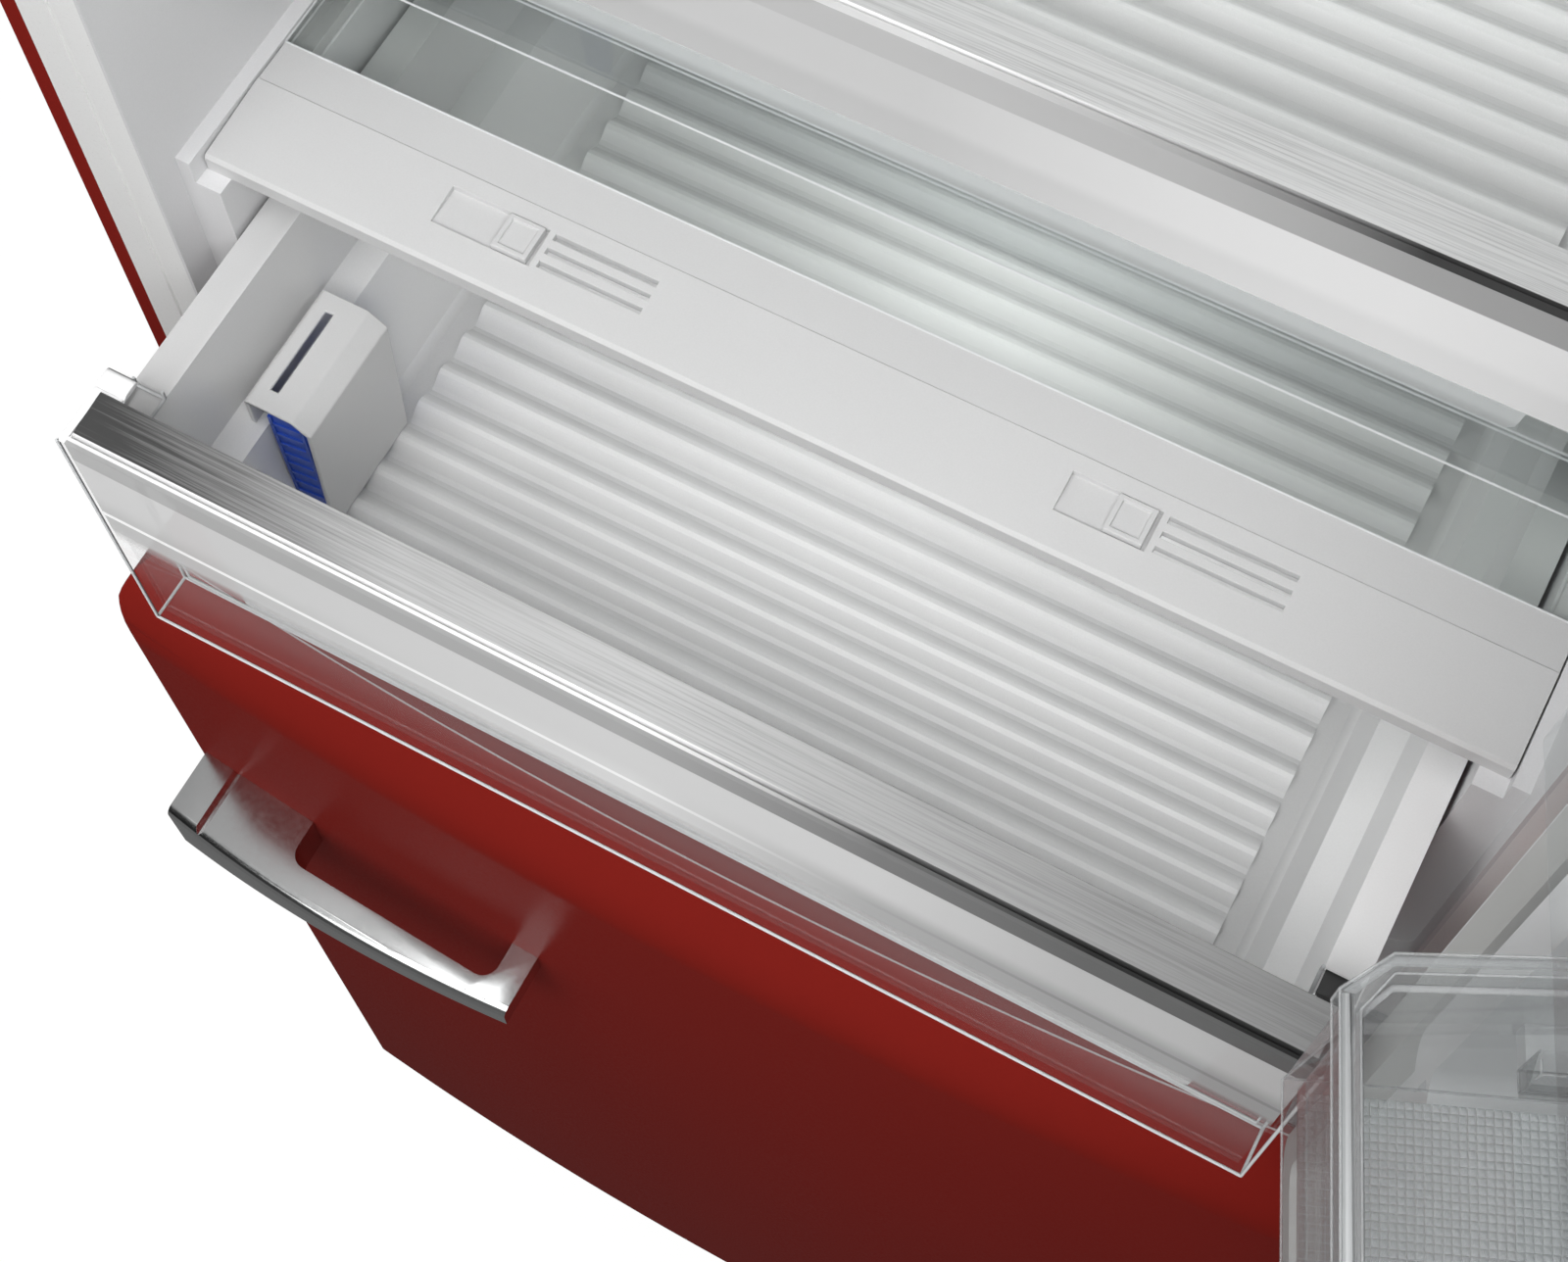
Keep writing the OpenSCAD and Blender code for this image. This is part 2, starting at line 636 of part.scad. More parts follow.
module crisper_cover() color("#d4d4d4") in_place() difference() {
    union() {
        wide(-cover_half, cover_half) polygon([[cover_y0, ledge_top], [cover_y0, cover_z - 1.5],
            [cover_y0 + 1.5, cover_z], [cover_y1, cover_z + cover_crown],
            [cover_y1 + 0.4, cover_z + cover_crown - 0.5], [cover_y2, cover_z + cover_crown - 0.5],
            [cover_y2, ledge_top]]);
        for (x = [-cover_half, ledge_half + 1])
            slab([x, cover_y2 - 1, ledge_top], [x + cover_half - ledge_half - 1, shelf_y1, glass_z]);
    }
    wide(-ledge_half, ledge_half) polygon([[cover_y0 + cover_t, ledge_top - 1],
        [cover_y0 + cover_t, cover_z - cover_t], [cover_y1, cover_z + cover_crown - cover_t],
        [cover_y2 - cover_t, cover_z + cover_crown - cover_t], [cover_y2 - cover_t, ledge_top - 1]]);
    for (i = [0, 1]) vent_cut(i);
}

glass_z = cover_z + cover_crown - 0.6 - glass_t;
module crisper_glass() color("#dfe6e6") in_place()
    slab([-cover_half, cover_y2 + 0.2, glass_z], [cover_half, shelf_y1, glass_z + glass_t]);

// Slider with a finger dish, sitting in its recess.
module humidity_slider(i) {
    y0 = (cover_y0 + cover_y1) / 2 - vent_d / 2 + 4;
    translate([vent_x[i] + slider_at[i], y0 + 0.4, cover_z + vent_rise(y0) - recess])
        difference() {
            slab([0, 0, 0], [slider_w, vent_d - 0.8, 3.4]);
            slab([2, 2, 2.6], [slider_w - 2, vent_d - 2.8, 4]);
        }
}

module humidity_slider_left() color("#dcdcdc") in_place() humidity_slider(0);
module humidity_slider_right() color("#dcdcdc") in_place() humidity_slider(1);

module shelf_glasses() color("#dfe6e6") in_place() for (z = shelf_z)
    slab([-inner_half + 3, shelf_y0, z], [inner_half - 3, shelf_y1, z + glass_t]);

module shelf_trims() color("#c8cacc") in_place() for (z = shelf_z) difference() {
    deep(shelf_y0 - 8, shelf_y0 + 3) soft_rect(-inner_half + 3, z - 3, inner_half - 3,
        z + glass_t + 3, 2);
    slab([-cab_w, shelf_y0, z], [cab_w, shelf_y0 + 4, z + glass_t]);
}

// Freezer drawers and the glass shelves between them.
freezer_shelf_z = [300, 548];
module freezer_shelves() color("#dfe6e6") in_place() for (z = freezer_shelf_z)
    slab([-inner_half + 3, 34, z], [inner_half - 3, cover_wall_y - 4, z + glass_t]);

module freezer_drawer(z0, z1, y1) {
    w = front_half - 1.5;
    difference() {
        union() {
            slab([-w, 30, z0], [w, y1, z1 - 26]);
            deep(26, 30) soft_rect(-w, z0, w, z1, 8);
        }
        slab([-w + 2.5, 32.5, z0 + 2.5], [w - 2.5, y1 - 2.5, z1]);
        deep(25, 36) soft_rect(-70, z1 - 46, 70, z1 - 22, 8);
    }
    slab([-76, 26, z1 - 52], [76, 46, z1 - 48]);
}

module freezer_drawer_top() color("#e9eef0") in_place()
    freezer_drawer(freezer_shelf_z[1] + glass_t + touch, freezer_high - 14, cover_wall_y - 16);
module freezer_drawer_middle() color("#e9eef0") in_place()
    freezer_drawer(freezer_shelf_z[0] + glass_t + touch, freezer_shelf_z[1] - 12, cover_wall_y - 16);
module freezer_drawer_bottom() color("#e9eef0") in_place()
    freezer_drawer(freezer_floor + liner_t + touch, freezer_shelf_z[0] - 12, step_depth - 22);

// Crisper: stepped tub with a ribbed base. Y is counted from the front of the clear front.
function tub_half(z0, z1, w, foot) = [[0, z0], [foot, z0], [foot + 4, z0 + 4], [foot + 9, z1 - 50],
    [w - 16, z1 - 44], [w - 11.4, z1], [0, z1]];

module tub_block(z0, z1, w, foot, y0, y1, drop) {
    deep(y0, y1) polygon([for (p = tub_half(z0, z1, w, foot)) p + [0, p[1] == z1 ? drop : 0]]);
    mirror([1, 0, 0]) deep(y0, y1)
        polygon([for (p = tub_half(z0, z1, w, foot)) p + [0, p[1] == z1 ? drop : 0]]);
}

// Wave of the base, as its Y and Z outline.
function wave(n, y0, z0) = concat([for (i = [0 : n * 8])
    [y0 + i * rib_pitch / 8, z0 + rib_h * (1 - cos(i * 45)) / 2]],
    [[y0 + n * rib_pitch, z0 - 1], [y0, z0 - 1]]);

module ribbed_tub(z0, z1, w, len, y0, half, flange, skid, wing) {
    foot = w - 38;
    difference() {
        union() {
            tub_block(z0, z1, w, foot, y0, y0 + len, 0);
            slab([-w, y0, z1 - 3], [w, y0 + len, z1]);
            for (x = [-w, w - 1.6]) slab([x, y0, z1 - flange], [x + 1.6, y0 + len, z1]);
        }
        tub_block(z0 + tub_t, z1, w - tub_t, foot - 1, y0 + tub_t, y0 + len - tub_t, 5);
    }
    for (x = [-half, half - 8]) if (skid > 0)
        slab([x, y0 + 20, z0 - skid], [x + 8, y0 + len - 20, z0 + 1]);
    if (wing > 0) for (s = [0, 1]) mirror([s, 0, 0])
        slab([w - 1, y0, z1 - 3], [w + wing, y0 + len - 10, z1]);
    ribs = floor((len - 30) / rib_pitch);
    wide(-half, half) polygon(wave(ribs, y0 + 15, z0 + tub_t));
}

module crisper_tub() color("#e8e8e8") on_crisper()
    ribbed_tub(fridge_floor + tub_clear, rim_z, rim_half, tub_len, front_depth, rib_half, 8,
        tub_clear - touch, 0);

module clear_front(z0, z1, half, ear_low, ear_high) {
    difference() {
        slab([-half, 0, z0], [half, front_depth, z1]);
        slab([-half + front_t, front_t, z0 + front_t], [half - front_t, front_depth + 20, z1 + 1]);
    }
    for (s = [0, 1]) mirror([s, 0, 0]) {
        wide(half - ear_w, half) corner_block(ear_low, ear_high);
        slab([half - front_t, front_depth - 0.5, ear_low], [half, front_depth + 4, ear_high - 1.2]);
    }
}

// Corner block behind the trim, seen from its side: round on top, with a sloping tail.
module corner_block(low, high) {
    y = front_depth + 4;
    r = 2.5;
    polygon([[y - 0.8, low], [y - 0.8, high - 1.2], [y, high - 1.2], [y, high - r],
        [y + r, high], [y + 9 - r, high], [y + 9, high - r], [y + 16, low + (high - low) * 0.2],
        [y + 16, low]]);
    for (c = [y + r, y + 9 - r]) translate([c, high - r]) circle(r, $fn = smooth);
}

module crisper_front() color("#cfd6d8") on_crisper()
    clear_front(fridge_floor + tub_clear - 2, rim_z + trim_up - 1, front_half, rim_z + touch + 1.5,
        rim_z + 26.4);

// Steel trim: a folded strip with a round front edge, lying between the clear walls.
module steel_trim(z, half) wide(-half, half) difference() {
    union() {
        polygon([[front_t, z - 12], [front_t, z - 3.2], [front_t + 2, z - 1.4],
            [front_depth + 3, z], [front_depth + 3, z - 7], [front_depth + 1, z - 7],
            [front_depth + 1, z - 2], [front_t + 3, z - 3.5], [front_t + 2, z - 12]]);
    }
}

module crisper_trim() color("#9a9b9c") on_crisper()
    steel_trim(rim_z + trim_up, front_half - front_t);

// Holder of the freshness cartridge: a drafted cap hooked on the step of the tub's left wall,
// open at its two ends and slotted along its top.
holder_y0 = 65;
holder_y1 = 121;
module cartridge_holder() color("#d8d8d7") on_crisper() translate([-rim_half, 0, rim_z]) difference() {
    deep(holder_y0, holder_y1) polygon([[24.6, -46.9], [24.6, -31.5], [26.1, -30], [46.6, -30],
        [54.1, -36], [49.8, -116.3], [47.8, -116.3], [51.9, -37.2], [45.8, -32], [26.6, -32],
        [26.6, -47.9]]);
    slab([31.6, holder_y0 + 9, -40], [35, holder_y1 - 8, -20]);
}

module freshness_cartridge() color("#22409a") on_crisper() translate([-rim_half, 0, rim_z])
    deep(holder_y0 + 1.5, holder_y1 - 2) polygon([[32.5, -41], [34.3, -32.3], [45.5, -32.3],
        [51.4, -37.9], [47.6, -112], [35.5, -112]]);

module chill_tub() color("#e4e5e5") in_place() translate([0, chill_y, 0])
    ribbed_tub(rim_z + chill_up + 2, runner_z + touch + 3, runner_half - 4, chill_len,
        front_depth, rib_half, 4, 0, 14);

module chill_front() color("#cfd6d8") in_place() translate([0, chill_y, 0])
    clear_front(rim_z + chill_up, rim_z + chill_up + chill_h - 1, front_half,
        runner_z + touch + 3.5, rim_z + chill_up + chill_h + 0.5);

module chill_trim() color("#9a9b9c") in_place() translate([0, chill_y, 0])
    steel_trim(rim_z + chill_up + chill_h, front_half - front_t);

// Door form: bowed front with a soft top, round corners and round side edges.
module roll_outline(z0, z1, inset) {
    top = roll_top - inset;
    low = roll_low - inset;
    r = bow_r - inset;
    translate([r - 300, z0 + inset]) square([300 - low, z1 - z0 - 2 * inset]);
    translate([r - 300, z0 + roll_low]) square([300, z1 - z0 - roll_low - roll_top]);
    translate([r - 300, z0 + roll_low]) square([300 - top, z1 - z0 - roll_low - inset]);
    translate([r - low, z0 + roll_low]) circle(low, $fn = smooth);
    translate([r - top, z1 - roll_top]) circle(top, $fn = smooth);
}

module door_plan(inset) {
    edge = half_w - side_r;
    mid = face_y(edge) + side_r;
    translate([-edge, -bulge - 5]) square([2 * edge, bulge + 5]);
    translate([inset - half_w, mid]) square([cab_w - 2 * inset, -mid]);
    for (s = [-1, 1]) translate([s * edge, mid]) circle(side_r - inset, $fn = smooth);
}

module door_form(z0, z1, inset, back) intersection() {
    translate([0, bow_r - bulge, 0]) rotate([0, 0, -98])
        rotate_extrude(angle = 16, $fn = fine) roll_outline(z0, z1, inset);
    translate([0, 0, z0 - 5]) linear_extrude(height = z1 - z0 + 10) door_plan(inset);
    deep(-bulge - 5, back) soft_rect(inset - half_w, z0 + inset - lap, half_w - inset,
        z1 - inset + lap, corner_r - inset);
}

// Sheet steel skin, open at the back, with holes for its two hinge pins.
module door_skin(z0, z1) difference() {
    door_form(z0, z1, 0, -seal_gap - panel_t);
    door_form(z0, z1, sheet_t, -seal_gap - panel_t + 1);
    hinge_holes(z0, z1);
}

module hinge_holes(z0, z1) for (z = [z0 - 1, z1 - pin_deep - 2])
    translate([hinge_x, hinge_y, z]) cylinder(r = pin_r + pin_clear, h = pin_deep + 3, $fn = smooth);

module seal(z0, z1) deep(-seal_gap, -0.5) difference() {
    soft_rect(-seal_half, z0 + 6, seal_half, z1 - 6, 12);
    soft_rect(seal_w - seal_half, z0 + 6 + seal_w, seal_half - seal_w, z1 - 6 - seal_w, 8);
}

// Handle: broad block, tapered grip and slim leg. One arc bows its front, another its underside.
handle_x0 = handle_in - half_w;
handle_x1 = handle_x0 + handle_len;
gap_x0 = handle_x0 + block_w;
gap_x1 = handle_x1 - leg_w;
arc_x = handle_x0 + handle_len * 0.68;
arc_y = handle_r - bulge - handle_out;
function front_y(x) = arc_y - sqrt(handle_r * handle_r - (x - arc_x) * (x - arc_x));

// Points along a corner's round, from one direction to another.
function turn(c, r, from, to) = [for (k = [0 : 6]) c + r * [cos(from + k * (to - from) / 6),
    sin(from + k * (to - from) / 6)]];

// Finger gap between the handle and the door, with round corners.
module finger_gap() {
    a = [gap_x0, front_y(gap_x0) + grip_t0];
    b = [gap_x1, front_y(gap_x1) + grip_t1];
    tilt = atan2(a[1] - b[1], b[0] - a[0]);
    lift = gap_r / cos(tilt);
    ca = [gap_x0 + gap_r, a[1] - gap_r * tan(tilt) + lift];
    cb = [gap_x1 - gap_r, b[1] + gap_r * tan(tilt) + lift];
    polygon(concat([[gap_x0, -60]], turn(ca, gap_r, 180, 270 - tilt),
        turn(cb, gap_r, 270 - tilt, 360), [[gap_x1, -60]]));
}

// Seen from the side: the front face with its rounded upper edge.
module handle_side(high, drop) {
    r = 5;
    translate([handle_r - 70, high - drop]) square([70, drop - r]);
    translate([handle_r - 70, high - drop]) square([70 - r, drop]);
    translate([handle_r - r, high - r]) circle(r, $fn = smooth);
}

module handle(high) difference() {
    intersection() {
        translate([arc_x, arc_y, 0]) rotate_extrude($fn = fine) handle_side(high, 60);
        deep(-200, 0) difference() {
            translate([handle_x0, high - 59]) square([handle_len, 60]);
            translate([handle_x1, high - handle_h - handle_r]) circle(handle_r, $fn = fine);
        }
    }
    translate([0, bow_r - bulge, high - 100]) cylinder(r = bow_r, h = 200, $fn = fine);
    translate([0, 0, high - 70]) linear_extrude(height = 80) finger_gap();
    deep(-200, 0) polygon([[handle_x0 + 17, high + 0.5], [handle_x0 + 20, high - 2],
        [handle_x0 + 23, high + 0.5]]);
}

module fridge_door_skin() color("#7c1d1a") on_fridge_door()
    door_skin(fridge_door_low, fridge_door_top);

module pocket(grow) deep(-pocket_y - panel_t, 40)
    soft_rect(grow - dike_half, dike_low - grow, dike_half - grow, dike_high + grow, 16);

module fridge_door_foam() color("#e3d9a8") on_fridge_door() difference() {
    door_form(fridge_door_low, fridge_door_top, sheet_t + 0.1, -seal_gap - panel_t);
    deep(-pocket_y - panel_t, 1) soft_rect(-dike_half, dike_low, dike_half, dike_high, 16);
    hinge_holes(fridge_door_low, fridge_door_top);
}

// Inner panel: a flat flange, the dike that stands over and beside the pocket, and lugs for the bins.
module fridge_door_liner() color("#ebebea") on_fridge_door() {
    difference() {
        union() {
            deep(-seal_gap - panel_t, -seal_gap) soft_rect(-half_w + 1, fridge_door_low + 1,
                half_w - 1, fridge_door_top - 1, corner_r);
            deep(-pocket_y - panel_t, dike_y) soft_rect(-dike_half, dike_low, dike_half, dike_high, 16);
        }
        deep(-pocket_y, dike_y + 1) soft_rect(dike_w - dike_half, dike_low + dike_w,
            dike_half - dike_w, dike_high - dike_w, 12);
        slab([dike_w - dike_half, 0.5 - seal_gap, dike_low - 1],
            [dike_half - dike_w, dike_y + 1, dike_low + dike_w + 1]);
        translate([hinge_x, hinge_y, 0]) cylinder(r = pin_r + 1, h = 1, $fn = smooth);
    }
    for (s = [0, 1], z = [bin_rim - bin_h, bin2_rim - bin2_h]) mirror([s, 0, 0])
        slab([bin_half - 6, -30, z - 14], [dike_half - dike_w + 1, 2, z - 6]);
}

module fridge_gasket() color("#cfcfcd") on_fridge_door() seal(fridge_door_low, fridge_door_top);

module fridge_handle() color("#c3c5c8") on_fridge_door()
    translate([0, 0, 2 * split_z]) mirror([0, 0, 1]) handle(freezer_door_top - handle_down);

// Door bin: open box, wider at the door, with a thick rim.
module bin_plan(inset) polygon([[inset - bin_half - 6, -pocket_y + touch + inset],
    [inset - bin_half, bin_y - 12], [inset - bin_half + 9, bin_y - inset],
    [bin_half - 9 - inset, bin_y - inset], [bin_half - inset, bin_y - 12],
    [bin_half + 6 - inset, -pocket_y + touch + inset]]);

module bin_body(rim, h, inset) intersection() {
    translate([0, 0, rim - h + inset]) linear_extrude(height = h + inset) bin_plan(1.5 + inset);
    deep(-pocket_y, bin_y + 1) polygon([[-bin_half - 9, rim + 30], [-bin_half - 9, rim - h + 30],
        [inset * 1.4 - bin_half + 10, rim - h], [bin_half - 10 - inset * 1.4, rim - h],
        [bin_half + 9, rim - h + 30], [bin_half + 9, rim + 30]]);
}

module bin(rim, h) {
    difference() {
        union() {
            intersection() {
                bin_body(rim, h, 0);
                slab([-cab_w, -100, 0], [cab_w, 100, rim]);
            }
            translate([0, 0, rim - 9]) linear_extrude(height = 9) bin_plan(0);
        }
        bin_body(rim, h, bin_t);
    }
    for (s = [0, 1]) mirror([s, 0, 0])
        slab([bin_half - 7, -32, rim - h - 6], [bin_half - 1.2, 4, rim - h + 14]);
}

module bottle_bin() color("#d8dcdf") on_fridge_door() bin(bin_rim, bin_h);
module middle_bin() color("#d8dcdf") on_fridge_door() bin(bin2_rim, bin2_h);

// Dairy compartment: a box whose ends carry the lid's pins.
dairy_w = dike_half - dike_w - touch;
dairy_axis = [-pocket_y + 12, dairy_z + dairy_h + 7];
module dairy_pin(x0, x1, r) translate([x0, dairy_axis[0], dairy_axis[1]]) rotate([0, 90, 0])
    cylinder(r = r, h = x1 - x0, $fn = smooth);

module dairy_box() color("#e6e6e5") on_fridge_door() difference() {
    union() {
        slab([-dairy_w, -pocket_y, dairy_z], [dairy_w, 50, dairy_z + dairy_h]);
        for (x = [-dairy_w, dairy_w - 3]) slab([x, dairy_axis[0] - 8, dairy_z],
            [x + 3, dairy_axis[0] + 8, dairy_axis[1] + 8]);
    }
    slab([-dairy_w + 3, -pocket_y + 3, dairy_z + 3], [dairy_w - 3, 47, dairy_z + dairy_h + 20]);
    slab([-cab_w, 20, dairy_z + 40], [cab_w, 60, dairy_z + dairy_h + 1]);
    dairy_pin(-dairy_w - 1, dairy_w + 1, 3 + pin_clear);
}

module dairy_lid() color("#cfd6d8") on_fridge_door() {
    w = dairy_w - 3.5;
    top = dairy_z + dairy_h + 1;
    slab([-w, dairy_axis[0], top], [w, 54, top + 3]);
    slab([-w, 51, top - 44], [w, 54, top + 1]);
    dairy_pin(-w, w, 5);
    for (s = [0, 1]) mirror([s, 0, 0]) dairy_pin(w - 1, w + 3.3, 3);
}

module freezer_door_skin() color("#7c1d1a") in_place() door_skin(door_low, freezer_door_top);

// Foam and inner panel of the freezer door, one moulding with shallow stiffening panels.
module freezer_door_panel() color("#ebebea") in_place() difference() {
    union() {
        difference() {
            door_form(door_low, freezer_door_top, sheet_t + 0.1, -seal_gap - panel_t);
            hinge_holes(door_low, freezer_door_top);
        }
        deep(-seal_gap - panel_t, -seal_gap) soft_rect(-half_w + 1, door_low + 1, half_w - 1,
            freezer_door_top - 1, corner_r);
    }
    for (z = [110, 350, 590])
        deep(-seal_gap - 5, 0) soft_rect(75 - half_w, z, half_w - 75, z + 200, 20);
}

module freezer_gasket() color("#cfcfcd") in_place() seal(door_low, freezer_door_top);

module freezer_handle() color("#c3c5c8") in_place()
    handle(freezer_door_top - handle_down);

cabinet_shell();
foam_core();
front_frame();
fridge_liner();
freezer_liner();
back_panel();
base_plate();
top_hinge();
middle_hinge();
bottom_hinge();
hinge_cover();
front_feet();
roller_brackets();
roller_left();
roller_right();
compressor();
compressor_mounts();
terminal_box();
refrigerant_pipes();
drip_tray();
cord_clamp();
evaporator();
evaporator_cover();
fan_motor();
fan_rotor();
duct_panel();
ceiling_lamp();
control_panel();
temperature_knob();
crisper_cover();
crisper_glass();
humidity_slider_left();
humidity_slider_right();
shelf_glasses();
shelf_trims();
freezer_shelves();
crisper_tub();
crisper_front();
crisper_trim();
cartridge_holder();
freshness_cartridge();
chill_tub();
chill_front();
chill_trim();
freezer_drawer_top();
freezer_drawer_middle();
freezer_drawer_bottom();
fridge_door_skin();
fridge_door_foam();
fridge_door_liner();
fridge_gasket();
fridge_handle();
dairy_box();
dairy_lid();
bottle_bin();
middle_bin();
freezer_door_skin();
freezer_door_panel();
freezer_gasket();
freezer_handle();
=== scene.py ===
"""Dresses the fridge freezer for its studio picture.

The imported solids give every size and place. Each sub-assembly below is a class that makes its own
visible pieces and finishes, and main() runs them in order.
"""
import json
import logging
import math
from dataclasses import dataclass, field
from enum import Enum

import bmesh
import bpy
from bmesh.types import BMesh
from bpy.types import ID, Material, Mesh, Node, NodeOutputs, NodeTree, Object, World
from bpy.types import NodeSocket as Socket
from mathutils import Matrix, Vector

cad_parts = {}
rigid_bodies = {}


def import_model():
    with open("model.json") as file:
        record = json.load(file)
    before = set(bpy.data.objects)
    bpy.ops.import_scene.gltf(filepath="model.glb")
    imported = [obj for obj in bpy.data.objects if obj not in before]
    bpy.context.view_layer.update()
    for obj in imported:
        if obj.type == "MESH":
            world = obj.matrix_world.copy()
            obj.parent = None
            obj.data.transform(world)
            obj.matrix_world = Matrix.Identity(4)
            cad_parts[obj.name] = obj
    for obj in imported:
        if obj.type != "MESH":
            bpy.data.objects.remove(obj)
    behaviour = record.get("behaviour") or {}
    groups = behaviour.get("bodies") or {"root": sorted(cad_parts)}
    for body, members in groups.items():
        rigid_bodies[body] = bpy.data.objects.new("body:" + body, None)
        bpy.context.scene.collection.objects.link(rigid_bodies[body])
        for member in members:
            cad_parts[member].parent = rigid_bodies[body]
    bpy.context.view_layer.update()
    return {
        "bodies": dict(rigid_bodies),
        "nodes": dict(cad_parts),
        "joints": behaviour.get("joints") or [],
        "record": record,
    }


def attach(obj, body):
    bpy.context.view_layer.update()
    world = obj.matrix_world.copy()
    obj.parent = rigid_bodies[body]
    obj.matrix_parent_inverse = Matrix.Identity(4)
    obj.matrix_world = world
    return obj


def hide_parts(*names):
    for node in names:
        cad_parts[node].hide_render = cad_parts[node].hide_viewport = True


LOG = logging.getLogger("fridge_freezer")
MM = 0.001
# The photograph's camera, worked out from the cabinet's straight edges: metres, axes and pixels.
CAMERA_PLACE = (0.1814, -0.6341, 1.8015)
CAMERA_RIGHT = (0.8793, 0.4761, -0.0137)
CAMERA_FORWARD = (-0.2049, 0.3521, -0.9133)
FOCAL_PIXELS = 2497.9
IMAGE_SIZE = (1600, 1288)
IMAGE_MIDDLE = (769.8, 644.3)
SENSOR_MM = 36.0
# Places across the drawers at which a row of tones is given, in mm.
PLACES = (-240.0, -10.0, 85.0, 160.0, 240.0)
# Vertices of a solid nearer than this are one, in metres, and flatter faces than this, in degrees.
MERGE_DISTANCE = 1e-5
FLAT_DEGREES = 0.4
# A height above every part of the object, in mm.
ABOVE_ALL = 9000.0
# The middle part of a noise texture's values, which are spread over a wider range of their own.
NOISE_LOW, NOISE_HIGH = 0.3, 0.7

Tones = tuple[str, ...]
Point = tuple[float, float, float]


def linear(hex_colour: str) -> tuple[float, float, float, float]:
    """Turns an sRGB hex colour into linear values.

    Args:
        hex_colour: six hexadecimal digits, such as "7e1f1b".

    Returns:
        Red, green, blue and an alpha of 1, as Blender's sockets take them.
    """
    parts = [int(hex_colour[i:i + 2], 16) / 255 for i in (0, 2, 4)]
    red, green, blue = [c / 12.92 if c <= 0.04045 else ((c + 0.055) / 1.055) ** 2.4 for c in parts]
    return (red, green, blue, 1.0)


def greys(levels: str) -> Tones:
    """Turns a row of two-digit hexadecimal grey levels into sRGB hex colours."""
    return tuple(level * 3 for level in levels.split())


@dataclass
class Nodes:
    """One node tree, with short ways to add what it needs.

    Attributes:
        tree: the node tree.
    """

    tree: NodeTree

    def add(self, kind: str, given: dict | None = None, **settings) -> Node:
        """Adds one node with its settings and links.

        Args:
            kind: the node's type name.
            given: input name or number to the output socket that feeds it, or to its plain value.
            settings: node properties, or input values by socket name with blanks as underscores.

        Returns:
            The new node.
        """
        node = self.tree.nodes.new(kind)
        names = {s.name.replace(" ", "_"): s for s in reversed(list(node.inputs))}
        for key, value in settings.items():
            if hasattr(node, key) and key not in ("name", "label"):
                setattr(node, key, value)
            else:
                names[key].default_value = value
        for key, source in (given or {}).items():
            socket = node.inputs[key] if isinstance(key, int) else names[key.replace(" ", "_")]
            if isinstance(source, Socket):
                self.tree.links.new(source, socket)
            else:
                socket.default_value = source
        return node

    def calc(self, operation: str, *values: Socket | float, clamp: bool = False) -> Socket:
        """Adds one operation on numbers and returns its output."""
        return self.add("ShaderNodeMath", dict(enumerate(values)), operation=operation,
                        use_clamp=clamp).outputs[0]

    def remap(self, value: Socket, start: float, end: float, low: float = 0.0, high: float = 1.0,
              smooth: bool = False) -> Socket:
        """Maps start...end to low...high, holds the value beyond them and returns the output."""
        return self.add("ShaderNodeMapRange", {"Value": value}, From_Min=start, From_Max=end, To_Min=low,
                        To_Max=high, interpolation_type="SMOOTHSTEP" if smooth else "LINEAR").outputs[0]

    def blend(self, share: Socket | float, first: Socket | tuple, second: Socket | tuple,
              mode: str = "MIX") -> Socket:
        """Lays a share of the second colour over the first and returns the output."""
        return self.add("ShaderNodeMix", {0: share, 6: first, 7: second}, data_type="RGBA",
                        blend_type=mode).outputs[2]

    def mix(self, share: Socket | float, first: Socket, second: Socket) -> Socket:
        """Mixes a share of the second shader into the first and returns the output."""
        return self.add("ShaderNodeMixShader", {0: share, 1: first, 2: second}).outputs[0]

    def split(self, vector: Socket) -> NodeOutputs:
        """Splits a vector and returns its outputs X, Y and Z."""
        return self.add("ShaderNodeSeparateXYZ", {"Vector": vector}).outputs

    def across(self, value: Socket, places: tuple[float, ...], tones: Tones) -> Socket:
        """Spreads a row of tones along one direction.

        Args:
            value: the coordinate, in metres.
            places: where each tone holds, in mm.
            tones: sRGB hex colours, one for each place.

        Returns:
            The colour output.
        """
        low, high = places[0] * MM, places[-1] * MM
        ramp = self.add("ShaderNodeValToRGB", {"Fac": self.remap(value, low, high)})
        stops = ramp.color_ramp.elements
        while len(stops) < len(places):
            stops.new(0.5)
        for stop, place, tone in zip(stops, places, tones):
            stop.position = (place * MM - low) / (high - low)
            stop.color = linear(tone)
        return ramp.outputs["Color"]

    def within(self, value: Socket, low: float, high: float, soft: float) -> Socket:
        """Marks where a coordinate lies between two limits.

        Args:
            value: the coordinate, in metres.
            low: lower limit, in mm.
            high: upper limit, in mm.
            soft: width over which the mark fades out, in mm.

        Returns:
            A value from 0 to 1.
        """
        rise = self.remap(value, (low - soft) * MM, low * MM, smooth=True)
        fall = self.remap(value, high * MM, (high + soft) * MM, 1.0, 0.0, smooth=True)
        return self.calc("MULTIPLY", rise, fall)


def emptied(holder: Material | World) -> Nodes:
    """Clears the nodes of a material or world.

    Args:
        holder: the material or world.

    Returns:
        Its tree, with no nodes.
    """
    holder.use_nodes = True
    holder.node_tree.nodes.clear()
    return Nodes(holder.node_tree)


def show(name: str, data: ID) -> Object:
    """Puts data into the scene.

    Args:
        name: the new object's name.
        data: its mesh, lamp or camera.

    Returns:
        The new object.
    """
    made = bpy.data.objects.new(name, data)
    bpy.context.scene.collection.objects.link(made)
    return made


